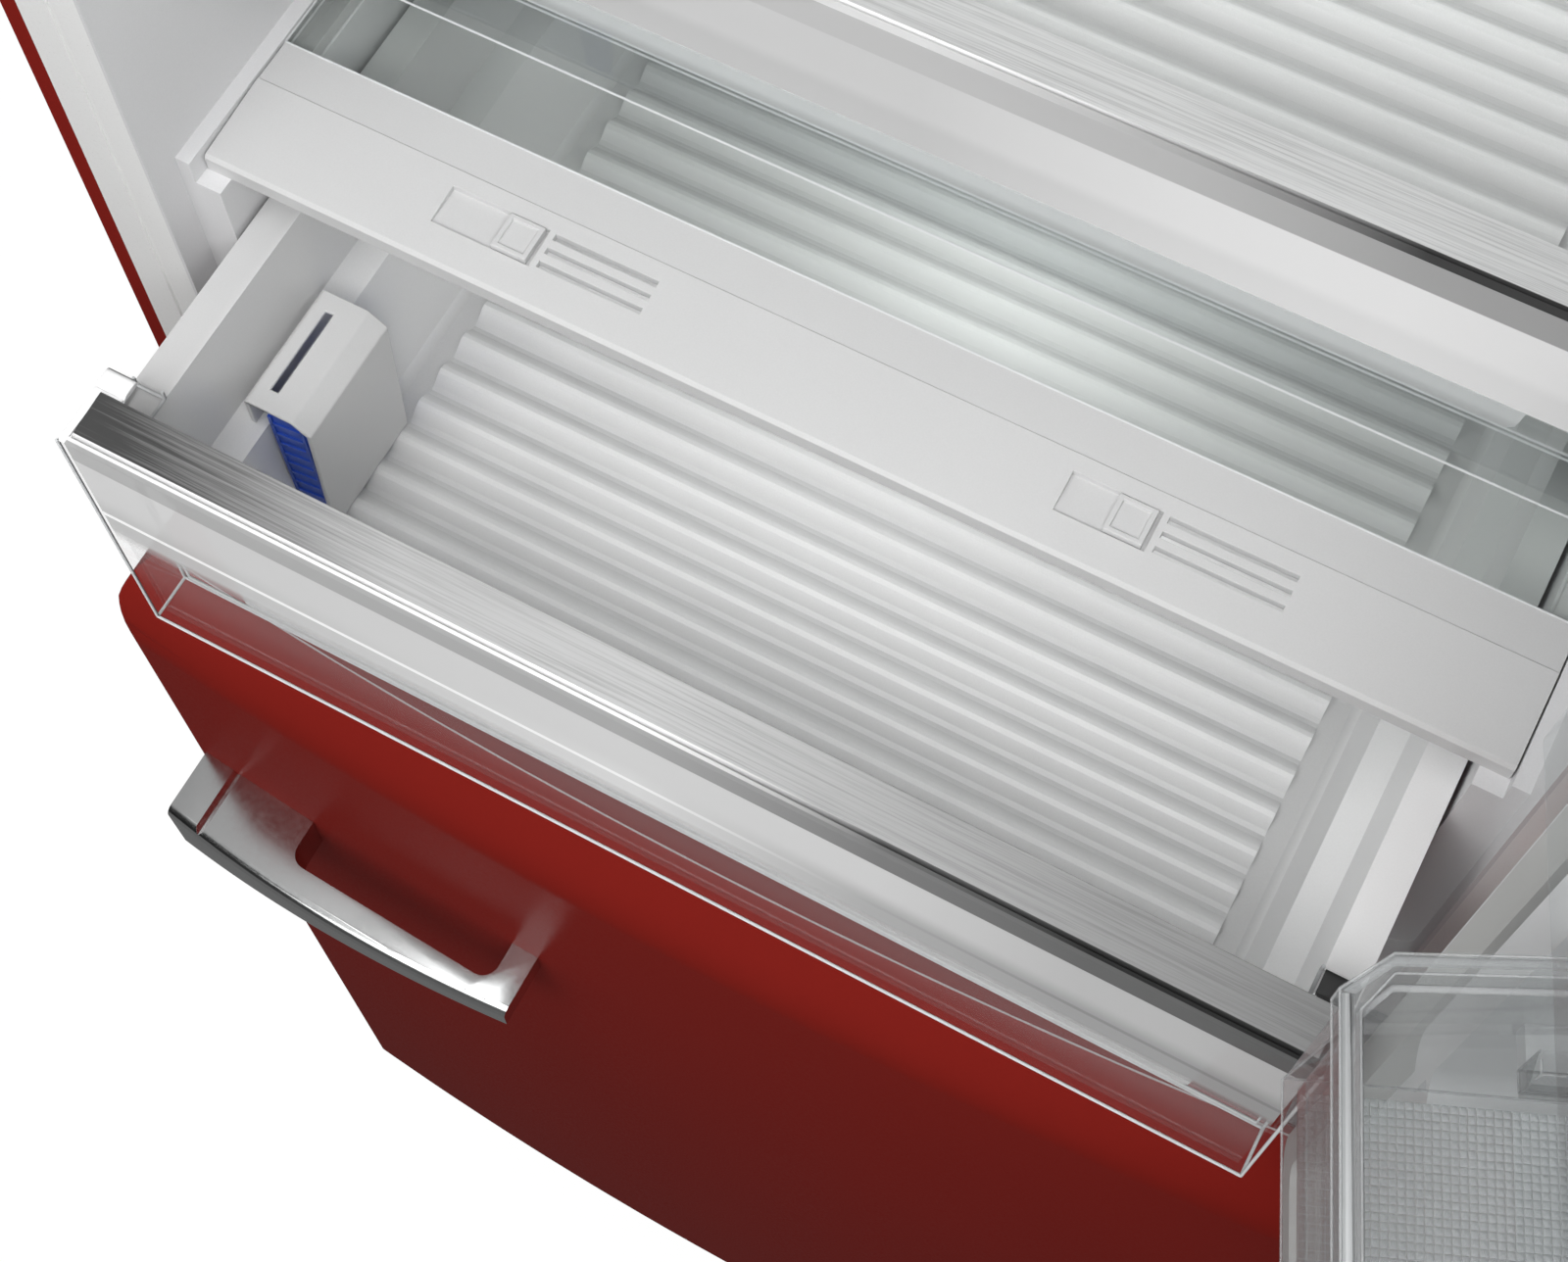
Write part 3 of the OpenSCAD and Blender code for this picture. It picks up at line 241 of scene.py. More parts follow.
def merged(mesh: Mesh) -> BMesh:
    """Opens a copied CAD mesh with its corners joined and its flat faces made whole.

    Args:
        mesh: the copy.

    Returns:
        The open mesh.
    """
    work = bmesh.new()
    work.from_mesh(mesh)
    bmesh.ops.remove_doubles(work, verts=work.verts, dist=MERGE_DISTANCE)
    bmesh.ops.dissolve_limit(work, angle_limit=math.radians(FLAT_DEGREES), verts=work.verts,
                             edges=work.edges)
    return work


def closed(work: BMesh, mesh: Mesh) -> Mesh:
    """Writes an open mesh back.

    Args:
        work: the open mesh.
        mesh: where it goes.

    Returns:
        The same mesh.
    """
    work.to_mesh(mesh)
    work.free()
    return mesh


def start_tree(name: str, inputs: dict[str, tuple[str, float | int | None]], output: str) -> Nodes:
    """Starts a geometry tree.

    Args:
        name: the tree's name.
        inputs: each input's name to its kind and first value.
        output: the name of the geometry that it gives.

    Returns:
        The tree, with no nodes yet.
    """
    made = bpy.data.node_groups.new(name, "GeometryNodeTree")
    for label, (kind, value) in inputs.items():
        socket = made.interface.new_socket(label, in_out="INPUT", socket_type="NodeSocket" + kind)
        if value is not None:
            socket.default_value = value
    made.interface.new_socket(output, in_out="OUTPUT", socket_type="NodeSocketGeometry")
    return Nodes(made)


def end_tree(nodes: Nodes, shape: Socket, finish: Socket | Material) -> NodeTree:
    """Ends a geometry tree with real geometry in one finish.

    Args:
        nodes: the tree so far.
        shape: its geometry.
        finish: its material.

    Returns:
        The tree.
    """
    real = nodes.add("GeometryNodeRealizeInstances", {0: shape})
    dressed = nodes.add("GeometryNodeSetMaterial", {0: real.outputs[0], "Material": finish})
    nodes.add("NodeGroupOutput", {0: dressed.outputs[0]})
    return nodes.tree


def grown(holder: Object, tree: NodeTree, **values) -> Mesh:
    """Runs a geometry tree on an object and leaves the result as its plain mesh.

    Args:
        holder: the object.
        tree: the geometry tree.
        values: the tree's inputs by name.

    Returns:
        The new mesh.
    """
    modifier = holder.modifiers.new(tree.name, "NODES")
    modifier.node_group = tree
    keys = {item.name: item.identifier for item in tree.interface.items_tree if item.in_out == "INPUT"}
    for name, value in values.items():
        modifier[keys[name]] = value
    bpy.context.view_layer.update()
    graph = bpy.context.evaluated_depsgraph_get()
    mesh = bpy.data.meshes.new_from_object(holder.evaluated_get(graph))
    holder.modifiers.clear()
    holder.data = mesh
    return mesh


class Grain(Enum):
    """Whether a surface's fine structure is the same all round or drawn out into lines."""

    EVEN = (1.0, 1.0, 1.0)
    BRUSHED = (0.02, 1.0, 1.0)


@dataclass(frozen=True)
class Surface:
    """A material that is built once, from nodes in object coordinates.

    Attributes:
        name: the material's plain name.
    """

    name: str

    def shader(self, nodes: Nodes, place: Socket) -> Socket:
        """Builds the nodes.

        Args:
            nodes: the material's empty tree.
            place: object coordinates.

        Returns:
            The shader's output.
        """
        raise NotImplementedError

    def material(self) -> Material:
        """Builds the material the first time.

        Returns:
            The material.
        """
        found = bpy.data.materials.get(self.name)
        if found:
            return found
        made = bpy.data.materials.new(self.name)
        nodes = emptied(made)
        place = nodes.add("ShaderNodeTexCoord").outputs["Object"]
        nodes.add("ShaderNodeOutputMaterial", {"Surface": self.shader(nodes, place)})
        return made


@dataclass(frozen=True)
class Finish(Surface):
    """An opaque material: what it is, its colour and how its surface catches the light.

    Attributes:
        colour: sRGB hex of the surface.
        rough: roughness of the shader.
        grain: the kind of fine structure.
        metal: 1 for a metal.
        grit_mm: size of the surface's fine structure.
        bump_mm: depth of that structure.
        spread: how far the colour varies.
        gloss: specular level, 0.5 for most plastics.
        valley_shade: painted shade of a ribbed floor: the heights of its troughs and crests between which
            it fades out, in mm, and the share of colour left in the troughs.
    """

    colour: str
    rough: float = 0.4
    grain: Grain = Grain.EVEN
    metal: float = 0.0
    grit_mm: float = 0.6
    bump_mm: float = 0.01
    spread: float = 0.03
    gloss: float = 0.5
    valley_shade: tuple[float, float, float] | None = None

    def shaded(self, nodes: Nodes, place: Socket, colour: Socket) -> Socket:
        """Paints shade into a ribbed tub: the colour darkens in the troughs between its ribs and towards
        its left wall.

        Args:
            nodes: the material's tree.
            place: object coordinates.
            colour: the plain colour.

        Returns:
            The colour with its painted shade.
        """
        axes = nodes.split(place)
        # Painted shade: the colour darkens in the troughs of the ribs and towards the tub's left wall.
        left_wall_shade = (-232.0, -205.0, 0.68)
        for axis, (start, end, left) in (("Z", self.valley_shade), ("X", left_wall_shade)):
            share = nodes.remap(axes[axis], start * MM, end * MM, left)
            colour = nodes.blend(1.0, colour, share, "MULTIPLY")
        return colour

    def shader(self, nodes: Nodes, place: Socket) -> Socket:
        """Builds the nodes: two noises vary colour, roughness and relief.

        Args:
            nodes: the material's empty tree.
            place: object coordinates.

        Returns:
            The shader's output.
        """
        laid = nodes.add("ShaderNodeMapping", {"Vector": place}, Scale=self.grain.value).outputs[0]
        fine = nodes.add("ShaderNodeTexNoise", {"Vector": laid}, Scale=1 / (self.grit_mm * MM),
                         Detail=3.0, Roughness=0.55).outputs[0]
        broad = nodes.add("ShaderNodeTexNoise", {"Vector": laid}, Scale=7.0, Detail=2.0).outputs[0]
        parts = linear(self.colour)[:3]
        dark = tuple(c * (1 - self.spread) for c in parts) + (1.0,)
        light = tuple(min(1.0, c * (1 + self.spread)) for c in parts) + (1.0,)
        colour = nodes.blend(nodes.remap(nodes.calc("ADD", fine, broad), 0.7, 1.3), dark, light)
        if self.valley_shade:
            colour = self.shaded(nodes, place, colour)
        rough = nodes.remap(fine, NOISE_LOW, NOISE_HIGH, self.rough * 0.85, min(1.0, self.rough * 1.15))
        bump = nodes.add("ShaderNodeBump", {"Height": fine}, Strength=0.35, Distance=self.bump_mm * MM)
        return nodes.add("ShaderNodeBsdfPrincipled",
                         {"Base Color": colour, "Roughness": rough, "Normal": bump.outputs[0]},
                         Metallic=self.metal, Specular_IOR_Level=self.gloss,
                         Anisotropic=0.6 if self.grain is Grain.BRUSHED else 0.0).outputs[0]


@dataclass(frozen=True)
class Band:
    """One level of a clear wall, whose tones may carry painted shade and highlights.

    Attributes:
        low: its lower height, in mm.
        high: its upper height, in mm.
        soft: height over which it fades out, in mm.
        share: share of milky light in it.
        tones: sRGB hex colours of that light, from left to right at PLACES; where they change along the
            wall, the change is painted shade and highlight.
        everywhere: whether it holds on every face and not on the outer one alone.
    """

    low: float
    high: float
    soft: float
    share: float
    tones: Tones = ("e9ebec",) * len(PLACES)
    everywhere: bool = False


@dataclass(frozen=True)
class ClearFinish(Surface):
    """A thin see-through material, drawn wall by wall.

    Attributes:
        colour: sRGB hex of the tint of one wall.
        mirror: share of light that its faces throw back at a glancing look.
        rough: roughness of those reflections.
        haze: share of milky light in the wall.
        bands: levels with a look of their own, painted one over the other, with painted shade and
            highlights in their tones.
        face_mm: depths between which the outer face lies. The bands are drawn only there.
        end_mm: where the end walls begin, to the left and right of the middle.
        lit_from_above: whether the light inside the wall comes from its top.
    """

    colour: str
    mirror: float = 0.6
    rough: float = 0.05
    haze: float = 0.06
    bands: tuple[Band, ...] = ()
    face_mm: tuple[float, float] = (1000.0, 1001.0)
    end_mm: float = 237.3
    lit_from_above: bool = False

    def milk_and_painted_light(self, nodes: Nodes, place: Socket) -> tuple[Socket | float, Socket | tuple]:
        """Works out how milky the wall is and in what tone, with the painted shade and highlights of its
        bands.

        Args:
            nodes: the material's tree.
            place: object coordinates.

        Returns:
            The share of milky light and its colour.
        """
        share, colour = self.haze, linear("e9ebec")
        if not self.bands:
            return share, colour
        axes = nodes.split(place)
        outer = nodes.within(axes["Y"], *self.face_mm, 0.2)
        between_ends = nodes.within(axes["X"], -self.end_mm, self.end_mm, 0.3)
        front = nodes.calc("MULTIPLY", outer, between_ends)
        # Each band lays milky light, with its painted shade and highlights from left to right.
        for band in self.bands:
            level = nodes.within(axes["Z"], band.low, band.high, band.soft)
            if not band.everywhere:
                level = nodes.calc("MULTIPLY", level, front)
            share = nodes.add("ShaderNodeMix", {0: level, 2: share, 3: band.share},
                              data_type="FLOAT").outputs[0]
            colour = nodes.blend(level, colour, nodes.across(axes["X"], PLACES, band.tones))
        return share, colour

    def shader(self, nodes: Nodes, place: Socket) -> Socket:
        """Builds the nodes: a tinted look through, milky light and glancing shine.

        Args:
            nodes: the material's empty tree.
            place: object coordinates.

        Returns:
            The shader's output.
        """
        wave = nodes.add("ShaderNodeTexNoise", {"Vector": place}, Scale=30.0, Detail=1.0)
        bump = nodes.add("ShaderNodeBump", {"Height": wave.outputs[0]}, Strength=0.15,
                         Distance=0.02 * MM)
        through = nodes.add("ShaderNodeBsdfTransparent", Color=linear(self.colour))
        shine = nodes.add("ShaderNodeBsdfGlossy", {"Normal": bump.outputs[0]},
                          Color=linear("ffffff"), Roughness=self.rough)
        share, tint = self.milk_and_painted_light(nodes, place)
        milk_and_painted_light = nodes.add("ShaderNodeBsdfDiffuse", {"Color": tint})
        if self.lit_from_above:
            upward = nodes.add("ShaderNodeCombineXYZ", X=0.0, Y=-0.75, Z=0.66)
            nodes.tree.links.new(upward.outputs[0], milk_and_painted_light.inputs["Normal"])
        edge_on = nodes.add("ShaderNodeLayerWeight", Blend=0.18).outputs["Fresnel"]
        milky = nodes.mix(share, through.outputs[0], milk_and_painted_light.outputs[0])
        return nodes.mix(nodes.calc("MULTIPLY", edge_on, self.mirror), milky, shine.outputs[0])


@dataclass(frozen=True)
class StripFinish(Surface):
    """Brushed steel strip with painted reflections: tones that change along its top, a painted highlight
    on its chamfer, and a left end that may be painted dark in long streaks as a painted dark reflection.

    Attributes:
        top: sRGB hex colours of its top, from left to right at PLACES, with painted reflection that
            changes along it.
        chamfer: the same for its front chamfer, a painted highlight that turns dark at the right.
        face: the same for its front face, painted reflection and shade.
        level_mm: height of its top.
        dark: sRGB hex of the painted dark reflection at the left end.
        reach_mm: left end of the dark part and where it has faded, off the strip when it has none.
        streak_mm: spacing of the brush lines, drawn coarser than real so that they show.
        slant: how far the dark part's end leans to the left over the strip's depth.
        strip_mm: depth at which reach_mm holds.
        chamfer_mm: how far below the top its chamfer ends and starts.
        face_mm: the same for its front face.
    """

    top: Tones
    chamfer: Tones
    face: Tones
    level_mm: float
    dark: str = "404040"
    reach_mm: tuple[float, float] = (-1000.0, -999.0)
    streak_mm: float = 0.9
    slant: float = 0.9
    strip_mm: float = -380.0
    chamfer_mm: tuple[float, float] = (3.6, 1.5)
    face_mm: tuple[float, float] = (30.0, 3.7)

    def shader(self, nodes: Nodes, place: Socket) -> Socket:
        """Builds the nodes: brush lines, a painted dark reflection at the left end, and painted
        reflections on the top, chamfer and face.

        Args:
            nodes: the material's empty tree.
            place: object coordinates.

        Returns:
            The shader's output.
        """
        drawn = nodes.add("ShaderNodeMapping", {"Vector": place}, Scale=(0.012, 1.0, 0.2)).outputs[0]
        lines = nodes.add("ShaderNodeTexNoise", {"Vector": drawn}, Scale=1 / (self.streak_mm * MM),
                          Detail=4.0, Roughness=0.7).outputs[0]
        axes = nodes.split(place)
        leaning = nodes.calc("MULTIPLY_ADD", axes["Y"], self.slant, axes["X"])
        # Painted dark reflection at the left end, its edge leaning and ragged along the brush lines.
        start, end = [(reach + self.slant * self.strip_mm) * MM for reach in self.reach_mm]
        dark_reflection_fade = nodes.remap(leaning, start, end, -0.12, 0.95)
        dark_reflection_rag = nodes.remap(lines, NOISE_LOW, NOISE_HIGH, -0.25, 0.25)
        light = nodes.calc("ADD", dark_reflection_fade, dark_reflection_rag, clamp=True)
        tone = nodes.blend(light, linear(self.dark), nodes.across(axes["X"], PLACES, self.top))
        grain = nodes.remap(lines, NOISE_LOW, NOISE_HIGH, 0.95, 1.04)
        colour = nodes.blend(1.0, tone, grain, "MULTIPLY")
        # Painted highlight on the chamfer and painted reflection on the face, changing from left to
        # right.
        for (foot, head), tones in ((self.chamfer_mm, self.chamfer), (self.face_mm, self.face)):
            level = nodes.within(axes["Z"], self.level_mm - foot, self.level_mm - head, 0.1)
            colour = nodes.blend(level, colour, nodes.across(axes["X"], PLACES, tones))
        rough = nodes.remap(lines, NOISE_LOW, NOISE_HIGH, 0.36, 0.48)
        bump = nodes.add("ShaderNodeBump", {"Height": lines}, Strength=0.2, Distance=0.006 * MM)
        return nodes.add("ShaderNodeBsdfPrincipled",
                         {"Base Color": colour, "Roughness": rough, "Normal": bump.outputs[0]},
                         Metallic=0.2).outputs[0]


def front_bands(top: float, pale: Tones, low_pale: Tones, face: Tones, line: Tones) -> tuple[Band, ...]:
    """Lists the levels of the crisper's clear front, under its steel strip, with painted shade from left
    to right and a painted highlight along its top edge.

    Args:
        top: height of the wall's top, in mm.
        pale: tones of the white tub's front just behind it, seen as milky light, with painted shade from
            left to right.
        low_pale: the same towards its foot.
        face: tones of the part behind which the strip is clipped in, painted shade and reflection that
            darken to the right.
        line: tones of the wall's top edge, a painted highlight that turns dark at the right.

    Returns:
        The bands, each painted over those before it.
    """
    haze_foot, milk_foot, pale_foot, clip_foot = [top - drop for drop in (92.0, 66.0, 36.0, 12.0)]
    above = top + 3.0
    # Painted shade in the pale and clip bands, and a painted highlight on the top edge line.
    return (Band(haze_foot, top, 34.0, 0.06), Band(milk_foot - 4.0, top, 8.0, 0.5, low_pale),
            Band(milk_foot, top, 5.0, 0.93, low_pale), Band(pale_foot, top, 18.0, 0.93, pale),
            Band(clip_foot, top, 0.5, 0.94, face), Band(top - 0.25, above, 0.1, 0.95, line, True),
            Band(top - 0.4, above, 0.1, 0.95, face))


# Red enamel, sprayed and baked on steel: deep, even and wet-looking, with soft reflections.
RED_ENAMEL = Finish("red_baked_enamel", "86231d", 0.36, grit_mm=1.4, bump_mm=0.004, spread=0.02,
                    gloss=0.005)
# ABS in the enamel's red: a touch duller than the steel beside it.
RED_ABS = Finish("red_abs_plastic", "7f211b", 0.45, gloss=0.2)
# White ABS of the front frame: bright and satin.
FRAME_ABS = Finish("white_abs_frame", "fafaf9", 0.32)
# Thermoformed polystyrene: light grey-white with a soft sheen.
LINER_PS = Finish("grey_white_polystyrene", "e4e4e5", 0.38)
# Injection-moulded light grey ABS of the cover plate: satin with a fine grain.
COVER_ABS = Finish("light_grey_abs", "d3d3d3", 0.42)
# White SAN of the tubs: smooth and faintly shiny, with painted shade in the troughs of the ribs and
# towards the left wall.
TUB_SAN = Finish("white_san_tub", "fafafa", 0.34, valley_shade=(898.5, 903.5, 0.78))
# The same in the chill drawer's shallow tub, with deeper painted shade in the troughs and towards the
# left wall.
CHILL_SAN = Finish("white_san_chill_tub", "f4f4f4", 0.34, valley_shade=(1072.5, 1077.5, 0.68))
# Rigid polyurethane foam: matt, yellowish, full of small cells.
FOAM = Finish("polyurethane_foam", "d9cf9a", 0.9, grit_mm=1.5, bump_mm=0.4, spread=0.1)
# Hot-dip galvanised sheet: grey with faint cloudy spangle.
ZINC_SHEET = Finish("galvanised_sheet", "9a9da0", 0.45, metal=1.0, grit_mm=6.0, spread=0.12)
# Bright zinc plate on the hinges: light grey, mirror-like under a slight haze.
HINGE_ZINC = Finish("zinc_plated_steel", "b4b6b8", 0.3, metal=1.0, grit_mm=2.0)
# Nylon of feet and rollers: black and dull.
BLACK_NYLON = Finish("black_nylon", "2a2b2d", 0.55)
# Stoving enamel of the compressor: black, with a slight orange peel.
BLACK_ENAMEL = Finish("black_stoving_enamel", "1b1c1e", 0.3, grit_mm=2.5, bump_mm=0.04)
# Natural rubber mounts: black and matt.
BLACK_RUBBER = Finish("black_rubber", "262626", 0.75)
# Plain moulded polypropylene: off-white and dull.
WHITE_PP = Finish("white_polypropylene", "dddddb", 0.5)
# Drawn copper tube: warm, with a brownish bloom.
COPPER = Finish("copper_tube", "b77a55", 0.32, Grain.BRUSHED, metal=1.0, grit_mm=1.0, spread=0.12)
# Mill-finish aluminium of fins and tubes: pale and faintly streaked.
MILL_ALUMINIUM = Finish("mill_aluminium", "c3c5c8", 0.38, Grain.BRUSHED, metal=1.0)
# Glass-filled polyamide of the motor parts: charcoal and matt.
CHARCOAL_PA = Finish("charcoal_polyamide", "303234", 0.6)
# Opal polycarbonate of the lamp cover: milky white with a soft sheen.
OPAL_PC = Finish("opal_polycarbonate", "f2f1ec", 0.35)
# Grey ABS of the shelf trims and the knob: cool light grey, satin.
GREY_ABS = Finish("grey_abs_trim", "bfc1c3", 0.33)
# Brushed stainless strip: long fine scratches, light grey, with painted reflections: a dark left end, a
# chamfer line bright at the left and dark at the right, and a top and face that darken to the right.
BRUSHED_STEEL = StripFinish("brushed_stainless", greys("bc c2 aa 98 90"), greys("ff ff 56 2c 2e"),
                            greys("b0 a8 7e 64 60"), 1045.6, "4a4a4a", (-232.0, -105.0))
# The same on the chill drawer, without the dark left end; its painted reflections make the chamfer line
# bright at the left and black at the right, and the face darker to the right.
CHILL_STEEL = StripFinish("brushed_stainless_chill", greys("dc de e0 e6 e4"), greys("ff ff a8 14 10"),
                          greys("c8 c4 b4 9c 98"), 1170.0)
# Bright chrome plate on zinc castings: mirror-like and slightly warm in the darks.
CHROME = Finish("chrome_plate", "dcdddd", 0.16, metal=1.0, grit_mm=3.0, bump_mm=0.002)
# Polypropylene of the cartridge: deep blue, satin.
BLUE_PP = Finish("blue_polypropylene", "3458be", 0.35)
# Soft PVC of the seals: light grey and matt.
SEAL_PVC = Finish("grey_soft_pvc", "c9c9c7", 0.6)
# Polystyrene crystal: clear with a faint smoky tint and slight waves.
CRYSTAL_PS = ClearFinish("crystal_polystyrene", "f8f9f9", 0.3, haze=0.015)
# The same in the crisper's front, whose upper part is milky and shows the white tub behind it, with
# painted shade from left to right, a painted highlight along its top edge and a thin painted highlight
# line lower down, both darker to the right.
MILKY_PS = ClearFinish("milky_polystyrene", "fefefe", 0.1, haze=0.01, face_mm=(-396.0, -391.5),
                       lit_from_above=True, bands=(
    *front_bands(1044.4, greys("d2 d2 ce bc be"), greys("c2 da ae a0 a2"), greys("b4 a9 7c 68 66"),
                 greys("ff ff 70 34 34")),
    Band(989.0, 991.6, 0.5, 0.95, greys("ff f6 a8 8e 90"))))
# The same in the chill drawer's front, with painted shade that darkens its milky bands towards the left
# and its upper band towards the right, and a painted highlight along its top edge that turns dark at the
# right.
CHILL_PS = ClearFinish("milky_polystyrene_chill", "fcfdfd", 0.12, haze=0.02, face_mm=(-190.0, -185.5),
                       lit_from_above=True, bands=(
    Band(1115.0, 1169.0, 1.0, 0.93, greys("c0 c2 d8 e4 e6")),
    Band(1134.0, 1169.0, 8.0, 0.95, greys("ca cc e2 ec ed")),
    Band(1155.0, 1169.0, 0.6, 0.94, greys("c4 c0 b9 a8 a5")),
    Band(1168.8, 1172.0, 0.1, 0.95, greys("e8 e4 b0 4a 48"), True)))
# The same in the bottle bin: a little smoky, with a whiter rolled rim.
BIN_PS = ClearFinish("bin_polystyrene", "eeefef", 0.4, haze=0.06, bands=(
    Band(1271.0, 1284.0, 0.4, 0.1, everywhere=True), Band(1279.6, 1284.0, 0.1, 0.12, everywhere=True)))
# The same with its moulded pyramids, which scatter the light.
TEXTURED_PS = ClearFinish("textured_polystyrene", "eef0f0", 0.8, 0.12, 0.2)
# Tempered float glass: clear and neutral at this thickness.
FLOAT_GLASS = ClearFinish("tempered_glass", "f7f9f8", 0.5, 0.02, 0.02)
# Cut and flamed edges of clear plastic and glass: they gather light into a bright line.
BRIGHT_EDGE = ClearFinish("bright_clear_edge", "fafafa", 0.3, 0.1, 0.88, lit_from_above=True)
# The same edges where the plastic is smoky: a faint line.
FAINT_EDGE = ClearFinish("faint_clear_edge", "f0f0f0", 0.6, 0.1, 0.22, lit_from_above=True)

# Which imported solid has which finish.
NODE_FINISH: dict[str, Surface] = {name: finish for finish, names in (
    (RED_ENAMEL, "cabinet_shell fridge_door_skin freezer_door_skin"),
    (FOAM, "foam_core fridge_door_foam"), (FRAME_ABS, "front_frame"),
    (LINER_PS, "fridge_liner freezer_liner fridge_door_liner freezer_door_panel"),
    (ZINC_SHEET, "back_panel base_plate roller_brackets"),
    (HINGE_ZINC, "top_hinge middle_hinge bottom_hinge"),
    (RED_ABS, "hinge_cover"), (BLACK_NYLON, "front_feet roller_left roller_right"),
    (BLACK_ENAMEL, "compressor"), (BLACK_RUBBER, "compressor_mounts"),
    (WHITE_PP, "terminal_box drip_tray evaporator_cover duct_panel control_panel dairy_box"),
    (COPPER, "refrigerant_pipes"), (CHARCOAL_PA, "cord_clamp fan_motor fan_rotor"),
    (MILL_ALUMINIUM, "evaporator"), (OPAL_PC, "ceiling_lamp"), (GREY_ABS, "temperature_knob shelf_trims"),
    (COVER_ABS, "crisper_cover humidity_slider_left humidity_slider_right cartridge_holder"),
    (FLOAT_GLASS, "crisper_glass shelf_glasses freezer_shelves"), (TUB_SAN, "crisper_tub"),
    (MILKY_PS, "crisper_front"), (BRUSHED_STEEL, "crisper_trim"), (BLUE_PP, "freshness_cartridge"),
    (CHILL_SAN, "chill_tub"), (CHILL_PS, "chill_front"), (CHILL_STEEL, "chill_trim"),
    (CRYSTAL_PS, "freezer_drawer_top freezer_drawer_middle freezer_drawer_bottom dairy_lid middle_bin"),
    (SEAL_PVC, "fridge_gasket freezer_gasket"), (CHROME, "fridge_handle freezer_handle"),
    (BIN_PS, "bottle_bin"),
) for name in names.split()}


@dataclass
class SolidDresser:
    """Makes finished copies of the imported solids.

    Attributes:
        slots: node name to the record's material slot.
        bodies: node name to the body that carries it.
        edge_steps: faces across each softened edge.
        crease: angle from which an edge is softened, in degrees.
    """

    frame: dict
    slots: dict[str, str] = field(default_factory=dict)
    bodies: dict[str, str] = field(default_factory=dict)
    edge_steps: int = 2
    crease: float = 30.0

    def __post_init__(self) -> None:
        """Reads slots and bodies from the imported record."""
        record = self.frame["record"]
        self.slots = {s["node"]: s["material_slot"] for s in record["subparts"]}
        for body, members in record["behaviour"]["bodies"].items():
            for name in members:
                self.bodies[name] = body

    def paint(self, name: str) -> None:
        """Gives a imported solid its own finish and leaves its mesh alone.

        Args:
            name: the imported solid.
        """
        solid = self.frame["nodes"][name]
        made = NODE_FINISH[name].material()
        solid.data.materials.clear()
        solid.data.materials.append(made)

    def adopt(self, piece: Object, node: str, replace: bool = True) -> Object:
        """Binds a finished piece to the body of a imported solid.

        Args:
            piece: the finished object.
            node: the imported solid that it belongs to.
            replace: whether it stands for that solid.

        Returns:
            The same object.
        """
        if replace:
            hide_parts(node)
        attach(piece, self.bodies[node])
        LOG.info("%s on %s", piece.name, self.bodies[node])
        return piece

    def moulded(self, node: str, edge_mm: float) -> Object:
        """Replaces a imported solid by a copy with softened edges.

        Args:
            node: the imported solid.
            edge_mm: radius of the softened edges, 0 for smooth shading alone.

        Returns:
            The finished copy.
        """
        crease = math.radians(self.crease)
        mesh = self.frame["nodes"][node].data.copy()
        mesh.name = node + "_form"
        work = merged(mesh)
        for face in work.faces:
            face.smooth = True
        for edge in work.edges:
            edge.smooth = len(edge.link_faces) == 2 and edge.calc_face_angle(0) < crease
        piece = show(node + "_piece", closed(work, mesh))
        mesh.materials.clear()
        mesh.materials.append(NODE_FINISH[node].material())
        if edge_mm > 0:
            soft = piece.modifiers.new("soft_edges", "BEVEL")
            soft.width = edge_mm * MM
            soft.segments = self.edge_steps
            soft.limit_method = "ANGLE"
            soft.angle_limit = crease
            soft.use_clamp_overlap = True
            soft.harden_normals = True
        return self.adopt(piece, node)


